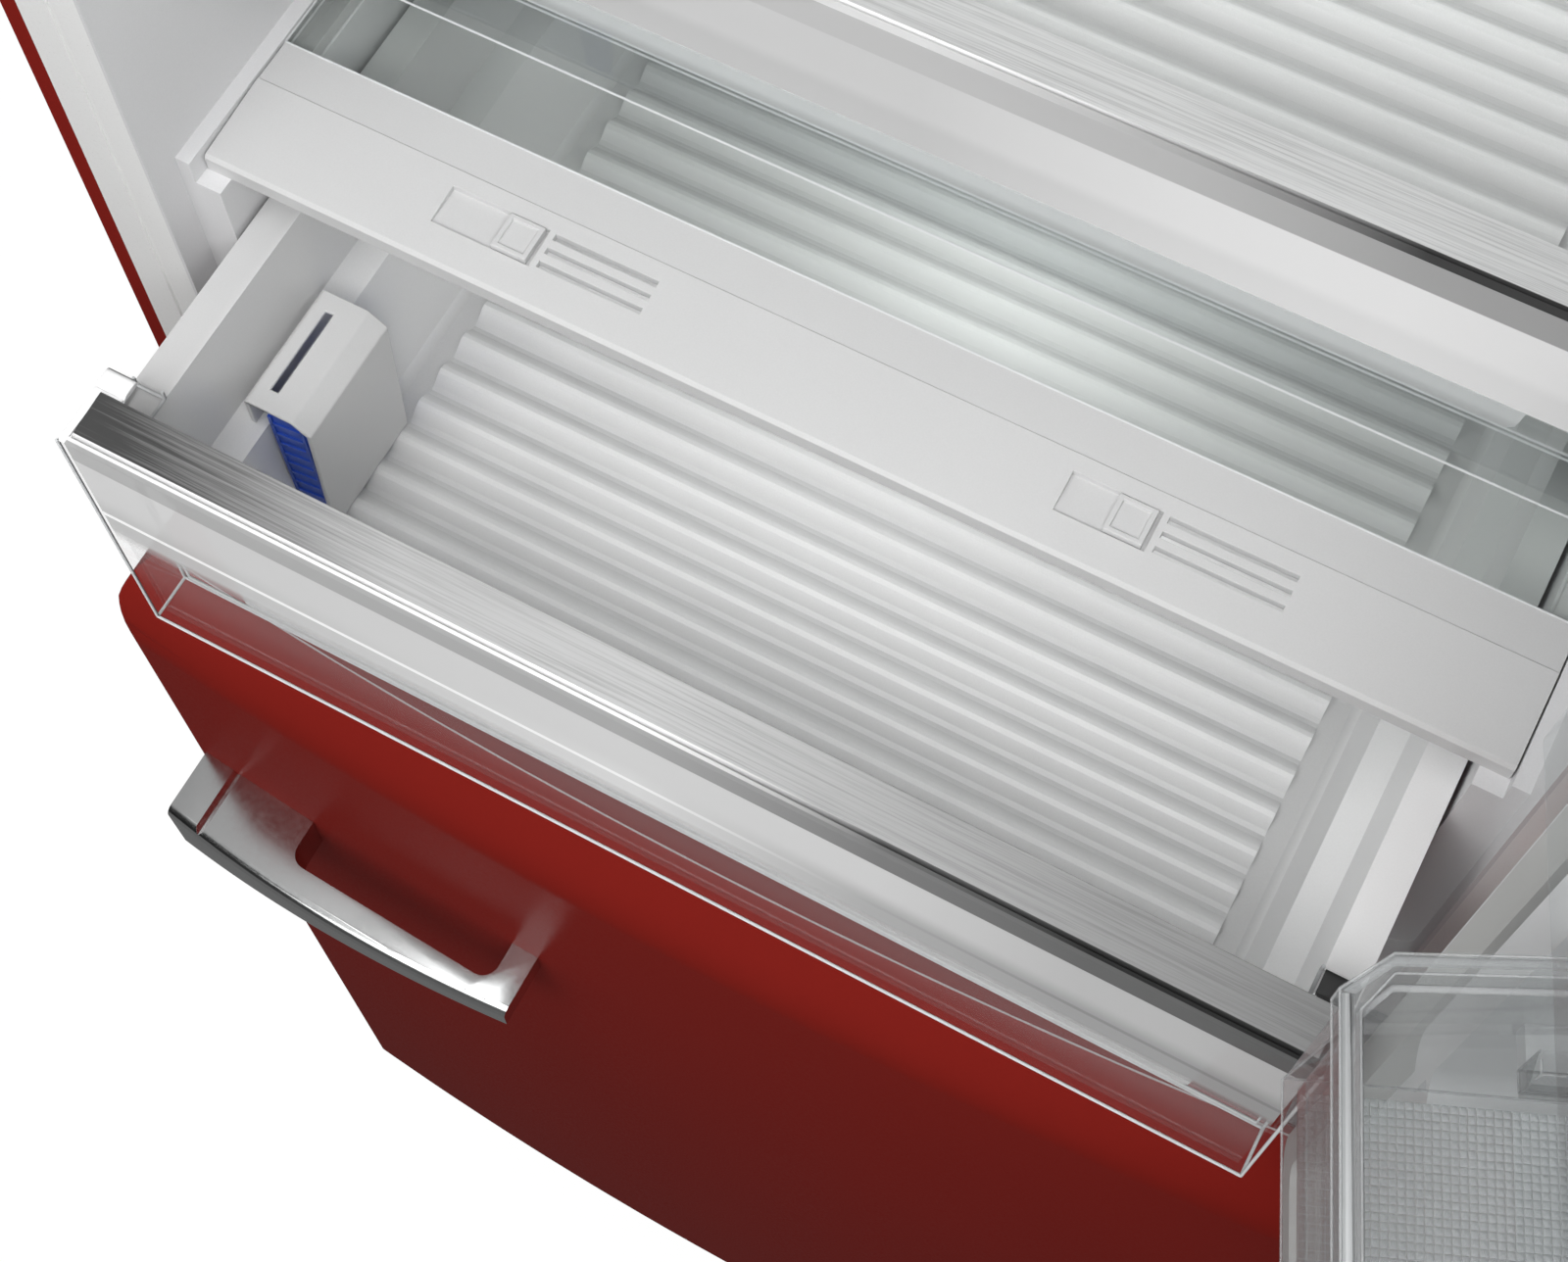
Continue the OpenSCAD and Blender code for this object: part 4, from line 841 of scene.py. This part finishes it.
@dataclass
class EdgeLights:
    """The bright lines along the cut edges of clear parts.

    Attributes:
        dresser: binds the finished lines to their bodies.
        crease: angle from which an edge of the part carries a line, in degrees.
        sides: faces round a line.
    """

    dresser: SolidDresser
    crease: float = 50.0
    sides: int = 6

    def tree(self) -> NodeTree:
        """Builds the tree that lays a thin round line on every sharp edge.

        Returns:
            The geometry tree.
        """
        nodes = start_tree("clear_edge_lines", {
            "Part": ("Geometry", None), "Radius": ("Float", MM),
            "Crease": ("Float", math.radians(self.crease)), "Highest": ("Float", ABOVE_ALL * MM),
            "Sides": ("Int", self.sides), "Finish": ("Material", None),
        }, "Lines")
        given = nodes.add("NodeGroupInput").outputs
        angle = nodes.add("GeometryNodeInputMeshEdgeAngle").outputs["Signed Angle"]
        sharp = nodes.add("FunctionNodeCompare", {0: angle, 1: given["Crease"]}, data_type="FLOAT",
                          operation="GREATER_THAN")
        height = nodes.split(nodes.add("GeometryNodeInputPosition").outputs[0])["Z"]
        low = nodes.add("FunctionNodeCompare", {0: height, 1: given["Highest"]}, data_type="FLOAT",
                        operation="LESS_THAN")
        chosen = nodes.add("FunctionNodeBooleanMath", {0: sharp.outputs[0], 1: low.outputs[0]},
                           operation="AND")
        path = nodes.add("GeometryNodeMeshToCurve", {0: given["Part"], 1: chosen.outputs[0]})
        ring = nodes.add("GeometryNodeCurvePrimitiveCircle",
                         {"Resolution": given["Sides"], "Radius": given["Radius"]})
        line = nodes.add("GeometryNodeCurveToMesh", {0: path.outputs[0], 1: ring.outputs[0]},
                         Fill_Caps=True)
        return end_tree(nodes, line.outputs[0], given["Finish"])

    def draw(self, node: str, radius_mm: float, finish: ClearFinish, highest_mm: float) -> Object:
        """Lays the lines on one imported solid.

        Args:
            node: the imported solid.
            radius_mm: radius of its lines.
            finish: the lines' finish.
            highest_mm: height above which no edge carries a line.

        Returns:
            The lines as one plain mesh.
        """
        tree = bpy.data.node_groups.get("clear_edge_lines") or self.tree()
        mesh = self.dresser.frame["nodes"][node].data.copy()
        holder = show(node + "_edges", closed(merged(mesh), mesh))
        lines = grown(holder, tree, Radius=radius_mm * MM, Highest=highest_mm * MM,
                      Finish=finish.material())
        for polygon in lines.polygons:
            polygon.use_smooth = True
        return self.dresser.adopt(holder, node, replace=False)


@dataclass
class CartridgeRibs:
    """The moulded ribs on the cartridge's outer face.

    Attributes:
        dresser: binds the ribs to the crisper.
        count: number of cross ribs.
        stand_mm: how far a rib stands out.
        half_mm: half its width.
        sink_mm: how deep it sits in the face.
        inset_mm: distance of the long ribs from the face's sides.
        foot_mm: distance of the ribs' field from the face's lower end.
        head_mm: the same from its upper end.
        slant_mm: half the rise of a cross rib from left to right.
    """

    dresser: SolidDresser
    count: int = 9
    stand_mm: float = 0.9
    half_mm: float = 0.8
    sink_mm: float = 0.05
    inset_mm: float = 2.2
    foot_mm: float = 6.0
    head_mm: float = 4.0
    slant_mm: float = 1.6

    def bar(self, work: BMesh, start: Vector, end: Vector) -> None:
        """Adds one square bar between two points of the front face.

        Args:
            work: the open mesh.
            start: middle of the bar's one end.
            end: middle of its other end.
        """
        side = (end - start).normalized().cross(Vector((0.0, 1.0, 0.0))).normalized() * self.half_mm * MM
        a, b, c, d, e, f, g, h = [work.verts.new(point + offset + Vector((0.0, depth, 0.0)))
                                  for point in (start, end) for offset in (side, -side)
                                  for depth in (0.0, -self.stand_mm * MM)]
        for ring in ((a, b, d, c), (e, g, h, f), (a, e, f, b), (c, d, h, g), (b, f, h, d), (a, c, g, e)):
            work.faces.new(ring)

    def build(self) -> Object:
        """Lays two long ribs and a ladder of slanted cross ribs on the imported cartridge's front.

        Returns:
            The ribs as one plain mesh.
        """
        box = [Vector(corner) for corner in self.dresser.frame["nodes"]["freshness_cartridge"].bound_box]
        low = Vector([min(values) for values in zip(*box)])
        high = Vector([max(values) for values in zip(*box)])
        left, right = low.x + self.inset_mm * MM, high.x - self.inset_mm * MM
        bottom, top = low.z + self.foot_mm * MM, high.z - self.head_mm * MM
        front = low.y + self.sink_mm * MM
        lean = self.slant_mm * MM
        work = bmesh.new()
        for x in (left, right):
            self.bar(work, Vector((x, front, bottom)), Vector((x, front, top)))
        for step in range(self.count):
            height = bottom + (top - bottom) * (step + 0.5) / self.count
            self.bar(work, Vector((left, front, height - lean)), Vector((right, front, height + lean)))
        bmesh.ops.recalc_face_normals(work, faces=work.faces)
        mesh = closed(work, bpy.data.meshes.new("cartridge_ribs"))
        mesh.materials.append(BLUE_PP.material())
        return self.dresser.adopt(show("cartridge_ribs", mesh), "freshness_cartridge", replace=False)


@dataclass
class BinTexture:
    """The small pyramids and the rolled rim that are moulded into each door bin.

    Attributes:
        dresser: binds the finished floors and beads to their bodies.
        pitch_mm: distance from pyramid to pyramid.
        rise_mm: height of one pyramid.
        spread: radius of a pyramid's corners as a share of the pitch.
        half_length_mm: half the length of the textured floor.
        reach_mm: its two ends across the bin, from the door's front plane.
        hinge_mm: place of the door's hinge, from the same plane.
        open_degrees: how far the door stands open.
        front_mm: depth of the door's front plane in the cabinet's frame.
        bead_sides: faces round a bead.
    """

    dresser: SolidDresser
    pitch_mm: float = 2.1
    rise_mm: float = 0.7
    spread: float = 0.66
    half_length_mm: float = 212.0
    reach_mm: tuple[float, float] = (-40.0, 59.0)
    hinge_mm: tuple[float, float] = (290.0, -44.0)
    open_degrees: float = 113.0
    front_mm: float = -295.0
    bead_sides: int = 10

    def tree(self) -> NodeTree:
        """Builds the tree that sets one pyramid on each point of a grid.

        Returns:
            The geometry tree.
        """
        nodes = start_tree("pyramid_floor", {
            "Base": ("Geometry", None), "Length": ("Float", 2 * self.half_length_mm * MM),
            "Width": ("Float", (self.reach_mm[1] - self.reach_mm[0]) * MM),
            "Pitch": ("Float", self.pitch_mm * MM), "Rise": ("Float", self.rise_mm * MM),
        }, "Floor")
        given = nodes.add("NodeGroupInput").outputs
        counts = [nodes.calc("FLOOR", nodes.calc("DIVIDE", given[side], given["Pitch"]))
                  for side in ("Length", "Width")]
        grid = nodes.add("GeometryNodeMeshGrid",
                         {0: given["Length"], 1: given["Width"], 2: counts[0], 3: counts[1]})
        corner = nodes.calc("MULTIPLY", given["Pitch"], self.spread)
        cone = nodes.add("GeometryNodeMeshCone", {"Radius Bottom": corner, "Depth": given["Rise"]},
                         Vertices=4, Radius_Top=0.0)
        turned = nodes.add("GeometryNodeTransform",
                           {0: cone.outputs[0], "Rotation": (0.0, 0.0, math.radians(45))})
        placed = nodes.add("GeometryNodeInstanceOnPoints",
                           {0: grid.outputs[0], "Instance": turned.outputs[0]})
        return end_tree(nodes, placed.outputs[0], TEXTURED_PS.material())

    def swing_open(self, mesh: Mesh, offset: Point) -> None:
        """Moves a mesh from the shut door's plan to where the open door holds it.

        Args:
            mesh: the mesh, built about its own middle.
            offset: where that middle lies on the shut door, in mm from the door's front plane.
        """
        front = Vector((0.0, self.front_mm, 0.0))
        hinge = (Vector((*self.hinge_mm, 0.0)) + front) * MM
        middle = (Vector(offset) + front) * MM
        turn = Matrix.Rotation(math.radians(self.open_degrees), 4, "Z")
        mesh.transform(Matrix.Translation(hinge) @ turn @ Matrix.Translation(middle - hinge))

    def roll(self, node: str, name: str, path: list[tuple[float, float]], height_mm: float,
             radius_mm: float, finish: ClearFinish) -> Object:
        """Lays a rolled bead along the bin's rim.

        Args:
            node: the bin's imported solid.
            name: the bead's name.
            path: its corner points on the shut door's plan, in mm.
            height_mm: height of its centre.
            radius_mm: its radius.
            finish: its finish.

        Returns:
            The bead as one plain mesh.
        """
        work = bmesh.new()
        sides = self.bead_sides
        rings = []
        for index, (x, y) in enumerate(path):
            before, after = path[max(index - 1, 0)], path[min(index + 1, len(path) - 1)]
            along = (Vector(after) - Vector(before)).normalized()
            ring = []
            for step in range(sides):
                turn = 2 * math.pi * step / sides
                out, up = radius_mm * math.cos(turn), radius_mm * math.sin(turn)
                point = Vector((x + along.y * out, y - along.x * out, height_mm + up))
                ring.append(work.verts.new(point * MM))
            rings.append(ring)
        for first, second in zip(rings, rings[1:]):
            for step in range(sides):
                following = (step + 1) % sides
                work.faces.new((first[step], first[following], second[following], second[step]))
        work.faces.new(rings[0][::-1])
        work.faces.new(rings[-1])
        bmesh.ops.recalc_face_normals(work, faces=work.faces)
        for face in work.faces:
            face.smooth = True
        mesh = closed(work, bpy.data.meshes.new(name))
        self.swing_open(mesh, (0.0, 0.0, 0.0))
        mesh.materials.append(finish.material())
        return self.dresser.adopt(show(name, mesh), node, replace=False)

    def beads(self, node: str, rim_mm: float) -> None:
        """Lays the beads of one bin: two along its front wall and two on each end wall.

        Args:
            node: the bin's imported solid.
            rim_mm: height of its rim.
        """
        for mark, half, y, drop, radius, finish in (("front", 217.0, 63.2, 1.5, 1.7, BRIGHT_EDGE),
                                                    ("inner", 213.0, 60.6, 1.0, 0.9, FAINT_EDGE)):
            self.roll(node, f"{node}_{mark}_bead", [(-half, y), (half, y)], rim_mm - drop, radius, finish)
        outer = ((217.2, 63.4), (225.6, 52.8), (231.6, -44.0))
        inner = ((213.6, 60.2), (221.8, 51.6), (227.4, -42.0))
        for side, mark in ((1.0, "near"), (-1.0, "far")):
            for label, line, drop, radius in (("", outer, 1.2, 1.1), ("_inner", inner, 9.0, 0.9)):
                self.roll(node, f"{node}_{mark}{label}_bead", [(side * x, y) for x, y in line],
                          rim_mm - drop, radius, FAINT_EDGE)

    def lay(self, node: str, floor_mm: float) -> Object:
        """Lays the pyramids on the floor of one bin.

        Args:
            node: the bin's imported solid.
            floor_mm: height of the bin's floor.

        Returns:
            The textured floor as one plain mesh.
        """
        tree = bpy.data.node_groups.get("pyramid_floor") or self.tree()
        holder = show(node + "_floor_texture", bpy.data.meshes.new(node + "_seed"))
        self.swing_open(grown(holder, tree), (0.0, sum(self.reach_mm) / 2, floor_mm))
        return self.dresser.adopt(holder, node, replace=False)


@dataclass(frozen=True)
class Lamp:
    """One soft square lamp, which the camera doesn't see.

    Attributes:
        name: the lamp's name.
        place: where it hangs, in metres.
        aim: the point that it faces.
        size: length of its side, in metres.
        watts: its power.
    """

    name: str
    place: Point
    aim: Point
    size: float
    watts: float

    def hang(self) -> None:
        """Hangs the lamp. Small ones don't show in mirrors either."""
        light = bpy.data.lights.new(self.name, "AREA")
        light.shape = "SQUARE"
        light.size = self.size
        light.energy = self.watts
        lamp = show(self.name, light)
        lamp.location = self.place
        toward = Vector(self.aim) - Vector(self.place)
        lamp.rotation_euler = toward.to_track_quat("-Z", "Y").to_euler()
        lamp.visible_camera = False
        lamp.visible_glossy = self.size > 0.5


@dataclass
class Studio:
    """The floor, the lights and the camera.

    Attributes:
        lamps: the lamps.
        floor_z: height of the floor, in metres.
        floor_half: half the floor's side, in metres.
        white: strength of the white background.
        room: strength of the light from all round.
        mirror_floor: brightness of the floor in shiny parts, low as in the photograph.
        floor_glow: share of the floor's own light, which leaves the rest to the object's shadow.
    """

    lamps: tuple[Lamp, ...]
    floor_z: float = -0.0255
    floor_half: float = 9.0
    white: float = 1.0
    room: float = 0.4
    mirror_floor: float = 0.15
    floor_glow: float = 0.92

    def floor(self) -> None:
        """Makes the pale floor, which looks white and keeps the object's shadow."""
        mesh = bpy.data.meshes.new("floor")
        half, level = self.floor_half, self.floor_z
        mesh.from_pydata([(-half, -half, level), (half, -half, level), (half, half, level),
                          (-half, half, level)], [], [(0, 1, 2, 3)])
        floor = show("floor", mesh)
        made = bpy.data.materials.new("pale_studio_floor")
        nodes = emptied(made)
        rays = nodes.add("ShaderNodeLightPath").outputs
        tone = nodes.blend(rays["Is Camera Ray"], linear("787878"), linear("f6f6f6"))
        matt = nodes.add("ShaderNodeBsdfDiffuse", {"Color": tone})
        glow = nodes.add("ShaderNodeEmission", Color=linear("ffffff"), Strength=self.white * 1.05)
        mirrored = nodes.add("ShaderNodeEmission", Color=linear("ffffff"), Strength=self.mirror_floor)
        seen = nodes.calc("MAXIMUM", rays["Is Camera Ray"], rays["Is Transmission Ray"])
        share = nodes.calc("MULTIPLY", seen, self.floor_glow)
        plain = nodes.mix(share, matt.outputs[0], glow.outputs[0])
        both = nodes.mix(rays["Is Glossy Ray"], plain, mirrored.outputs[0])
        nodes.add("ShaderNodeOutputMaterial", {"Surface": both})
        mesh.materials.append(made)

    def world(self) -> None:
        """Sets the surround: white behind the object, and in mirrors a bright ceiling over a dim room."""
        world = bpy.data.worlds.new("studio_surround")
        bpy.context.scene.world = world
        nodes = emptied(world)
        rays = nodes.add("ShaderNodeLightPath").outputs
        soft = nodes.add("ShaderNodeBackground", Color=linear("ffffff"), Strength=self.room)
        toward = nodes.split(nodes.add("ShaderNodeTexCoord").outputs["Generated"])
        ceiling = nodes.remap(toward["Z"], 0.8, 0.9, 0.14, 0.9, smooth=True)
        panels = nodes.across(toward["X"], (-520.0, -420.0, -330.0, -200.0, -100.0, 40.0, 200.0),
                        ("505050", "8c8c8c", "c8c8c8", "f0f0f0", "f6f6f6", "c0c0c0", "8c8c8c"))
        mirrored = nodes.add("ShaderNodeBackground", {"Strength": ceiling, "Color": panels})
        plain = nodes.mix(rays["Is Glossy Ray"], soft.outputs[0], mirrored.outputs[0])
        white = nodes.add("ShaderNodeBackground", Color=linear("ffffff"), Strength=self.white)
        seen = nodes.calc("MAXIMUM", rays["Is Camera Ray"], rays["Is Transmission Ray"])
        nodes.add("ShaderNodeOutputWorld", {"Surface": nodes.mix(seen, plain, white.outputs[0])})

    def camera(self) -> None:
        """Places the camera at the photograph's viewing angle."""
        width, height = IMAGE_SIZE
        data = bpy.data.cameras.new("studio_camera")
        data.sensor_fit = "HORIZONTAL"
        data.sensor_width = SENSOR_MM
        data.lens = FOCAL_PIXELS / width * SENSOR_MM
        data.shift_x = (width / 2 - IMAGE_MIDDLE[0]) / width
        data.shift_y = (IMAGE_MIDDLE[1] - height / 2) / width
        data.clip_start = 0.02
        data.clip_end = 60.0
        camera = show("studio_camera", data)
        forward = Vector(CAMERA_FORWARD).normalized()
        right = (Vector(CAMERA_RIGHT) - forward * Vector(CAMERA_RIGHT).dot(forward)).normalized()
        turn = Matrix((right, right.cross(forward), -forward)).transposed().to_4x4()
        camera.matrix_world = Matrix.Translation(CAMERA_PLACE) @ turn
        bpy.context.scene.camera = camera

    def build(self) -> None:
        """Sets up everything but the object."""
        self.camera()
        self.floor()
        self.world()
        for lamp in self.lamps:
            lamp.hang()
        bpy.context.scene.view_settings.view_transform = "Standard"


# The big lamps light the front from above; the small ones keep the inside of the drawers from going dull.
LAMPS = (
    Lamp("overhead", (0.0, -0.95, 2.75), (0.0, -0.2, 1.0), 1.5, 18.0),
    Lamp("front", (-0.35, -1.3, 1.75), (0.0, -0.4, 0.95), 0.7, 3.2),
    Lamp("fill", (0.28, -0.75, 1.6), (0.0, -0.25, 1.0), 0.3, 2.2),
    Lamp("cavity", (0.0, 0.1, 1.33), (0.0, 0.0, 1.08), 0.25, 0.45),
    Lamp("tub", (0.0, -0.12, 1.03), (0.0, -0.08, 0.9), 0.1, 0.11),
)

# Radius of the softened edges in mm, and the replaced solids that have it.
SOFT_EDGES = (
    (0.5, "crisper_cover"), (0.4, "humidity_slider_left humidity_slider_right"), (0.7, "crisper_front"),
    (0.4, "crisper_trim"), (0.8, "cartridge_holder"), (0.5, "freshness_cartridge"), (0.7, "chill_front"),
    (0.4, "chill_trim"), (0.6, "crisper_glass front_frame"),
    (0.8, "bottle_bin middle_bin freezer_handle fridge_handle"),
    (0.0, "fridge_door_skin freezer_door_skin"),
)

# Radius of edge lines in mm, their finish, the height above which there are none, and their clear solids.
EDGE_LINES = (
    (0.7, BRIGHT_EDGE, 1035.0, "crisper_front"), (0.5, BRIGHT_EDGE, 1160.0, "chill_front"),
    (0.5, BRIGHT_EDGE, ABOVE_ALL, "crisper_glass"), (0.35, FAINT_EDGE, ABOVE_ALL, "bottle_bin"),
    (0.5, BRIGHT_EDGE, ABOVE_ALL, "shelf_glasses freezer_shelves"),
    (0.5, FAINT_EDGE, ABOVE_ALL,
     "freezer_drawer_top freezer_drawer_middle freezer_drawer_bottom dairy_lid"),
)

# Height of each door bin's floor and rim, in mm.
BIN_LEVELS = {"bottle_bin": (1206.2, 1280.0), "middle_bin": (1435.2, 1500.0)}


def main() -> None:
    """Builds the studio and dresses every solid."""
    logging.basicConfig(level=logging.INFO, format="%(message)s")
    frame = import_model()
    Studio(LAMPS).build()
    dresser = SolidDresser(frame)
    for name in frame["nodes"]:
        dresser.paint(name)
    for edge, names in SOFT_EDGES:
        for name in names.split():
            dresser.moulded(name, edge)
    lights = EdgeLights(dresser)
    for radius, finish, highest, names in EDGE_LINES:
        for name in names.split():
            lights.draw(name, radius, finish, highest)
    CartridgeRibs(dresser).build()
    texture = BinTexture(dresser)
    for name, (floor, _) in BIN_LEVELS.items():
        texture.lay(name, floor)
    for name, (_, rim) in BIN_LEVELS.items():
        texture.beads(name, rim)


if __name__ == "__main__":
    main()
